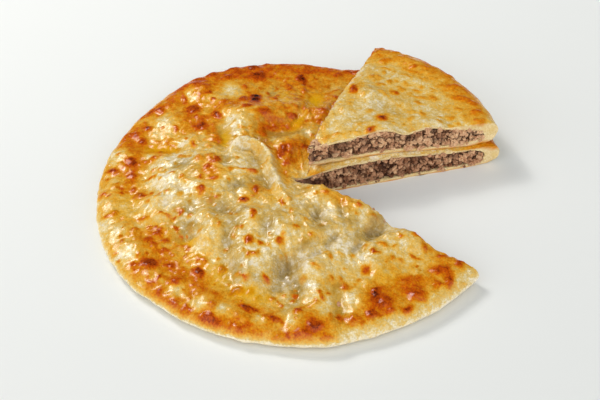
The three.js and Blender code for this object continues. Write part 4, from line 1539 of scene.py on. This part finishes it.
class PIE_OT_stage(bpy.types.Operator):
    """Sets up the floor, the soft light and the camera"""

    bl_idname = "mesh.pie_stage"
    bl_label = "Stage"

    def execute(self, context):
        stage = context.scene.pie_stage
        make_floor(stage.floor_colour)
        add_light("window", LIGHT_WIDTH, LIGHT_HEIGHT, stage.light_power)
        add_light("bright middle of the window", LAMP_SIZE, LAMP_SIZE, stage.light_power * LAMP_SHARE)
        make_room(stage.room_colour, stage.room_light)
        make_camera()
        return {"FINISHED"}


class PIE_OT_finishes(bpy.types.Operator):
    """Makes the materials of the crust, the cut dough and the minced filling"""

    bl_idname = "mesh.pie_finishes"
    bl_label = "Finishes"

    def execute(self, context):
        colours = context.scene.pie_colours
        crust_material(colours)
        dough_material(colours)
        meat_material(colours)
        return {"FINISHED"}


class PIE_OT_main_crust(bpy.types.Operator):
    """Builds the dough of the main part of the pie"""

    bl_idname = "mesh.pie_main_crust"
    bl_label = "Main crust"

    def execute(self, context):
        pie = Pie(context.scene.pie_sizes)
        make_crust(pie, main_part(pie))
        return {"FINISHED"}


class PIE_OT_slice_crusts(bpy.types.Operator):
    """Builds the dough of the wedge in its place and of the wedge on top"""

    bl_idname = "mesh.pie_slice_crusts"
    bl_label = "Slice crusts"

    def execute(self, context):
        pie = Pie(context.scene.pie_sizes)
        make_crust(pie, lower_part(pie))
        make_crust(pie, upper_part(pie))
        return {"FINISHED"}


class PIE_OT_fillings(bpy.types.Operator):
    """Builds the minced filling of the three pieces"""

    bl_idname = "mesh.pie_fillings"
    bl_label = "Fillings"

    def execute(self, context):
        pie = Pie(context.scene.pie_sizes)
        for part in (main_part(pie), lower_part(pie), upper_part(pie)):
            make_filling(pie, part)
        return {"FINISHED"}


OPERATORS = (PIE_OT_stage, PIE_OT_finishes, PIE_OT_main_crust, PIE_OT_slice_crusts, PIE_OT_fillings)


class PIE_PT_sidebar(bpy.types.Panel):
    """The pie's pieces, sizes and colours"""

    bl_idname = "PIE_PT_sidebar"
    bl_label = "Cut meat pie"
    bl_space_type = "VIEW_3D"
    bl_region_type = "UI"
    bl_category = "Pie"

    def draw(self, context):
        for operator in OPERATORS:
            self.layout.operator(operator.bl_idname)
        for group in (context.scene.pie_sizes, context.scene.pie_colours, context.scene.pie_stage):
            box = self.layout.box()
            for key in group.bl_rna.properties.keys():
                if key not in ("name", "rna_type"):
                    box.prop(group, key)


CLASSES = (PieSizes, PieColours, PieStage, *OPERATORS, PIE_PT_sidebar)


def register():
    for item in CLASSES:
        bpy.utils.register_class(item)
    bpy.types.Scene.pie_sizes = bpy.props.PointerProperty(type=PieSizes)
    bpy.types.Scene.pie_colours = bpy.props.PointerProperty(type=PieColours)
    bpy.types.Scene.pie_stage = bpy.props.PointerProperty(type=PieStage)


def unregister():
    del bpy.types.Scene.pie_sizes
    del bpy.types.Scene.pie_colours
    del bpy.types.Scene.pie_stage
    for item in reversed(CLASSES):
        bpy.utils.unregister_class(item)


def main():
    register()
    bpy.ops.mesh.pie_stage()
    bpy.ops.mesh.pie_finishes()
    bpy.ops.mesh.pie_main_crust()
    bpy.ops.mesh.pie_slice_crusts()
    bpy.ops.mesh.pie_fillings()


if __name__ == "__main__":
    main()
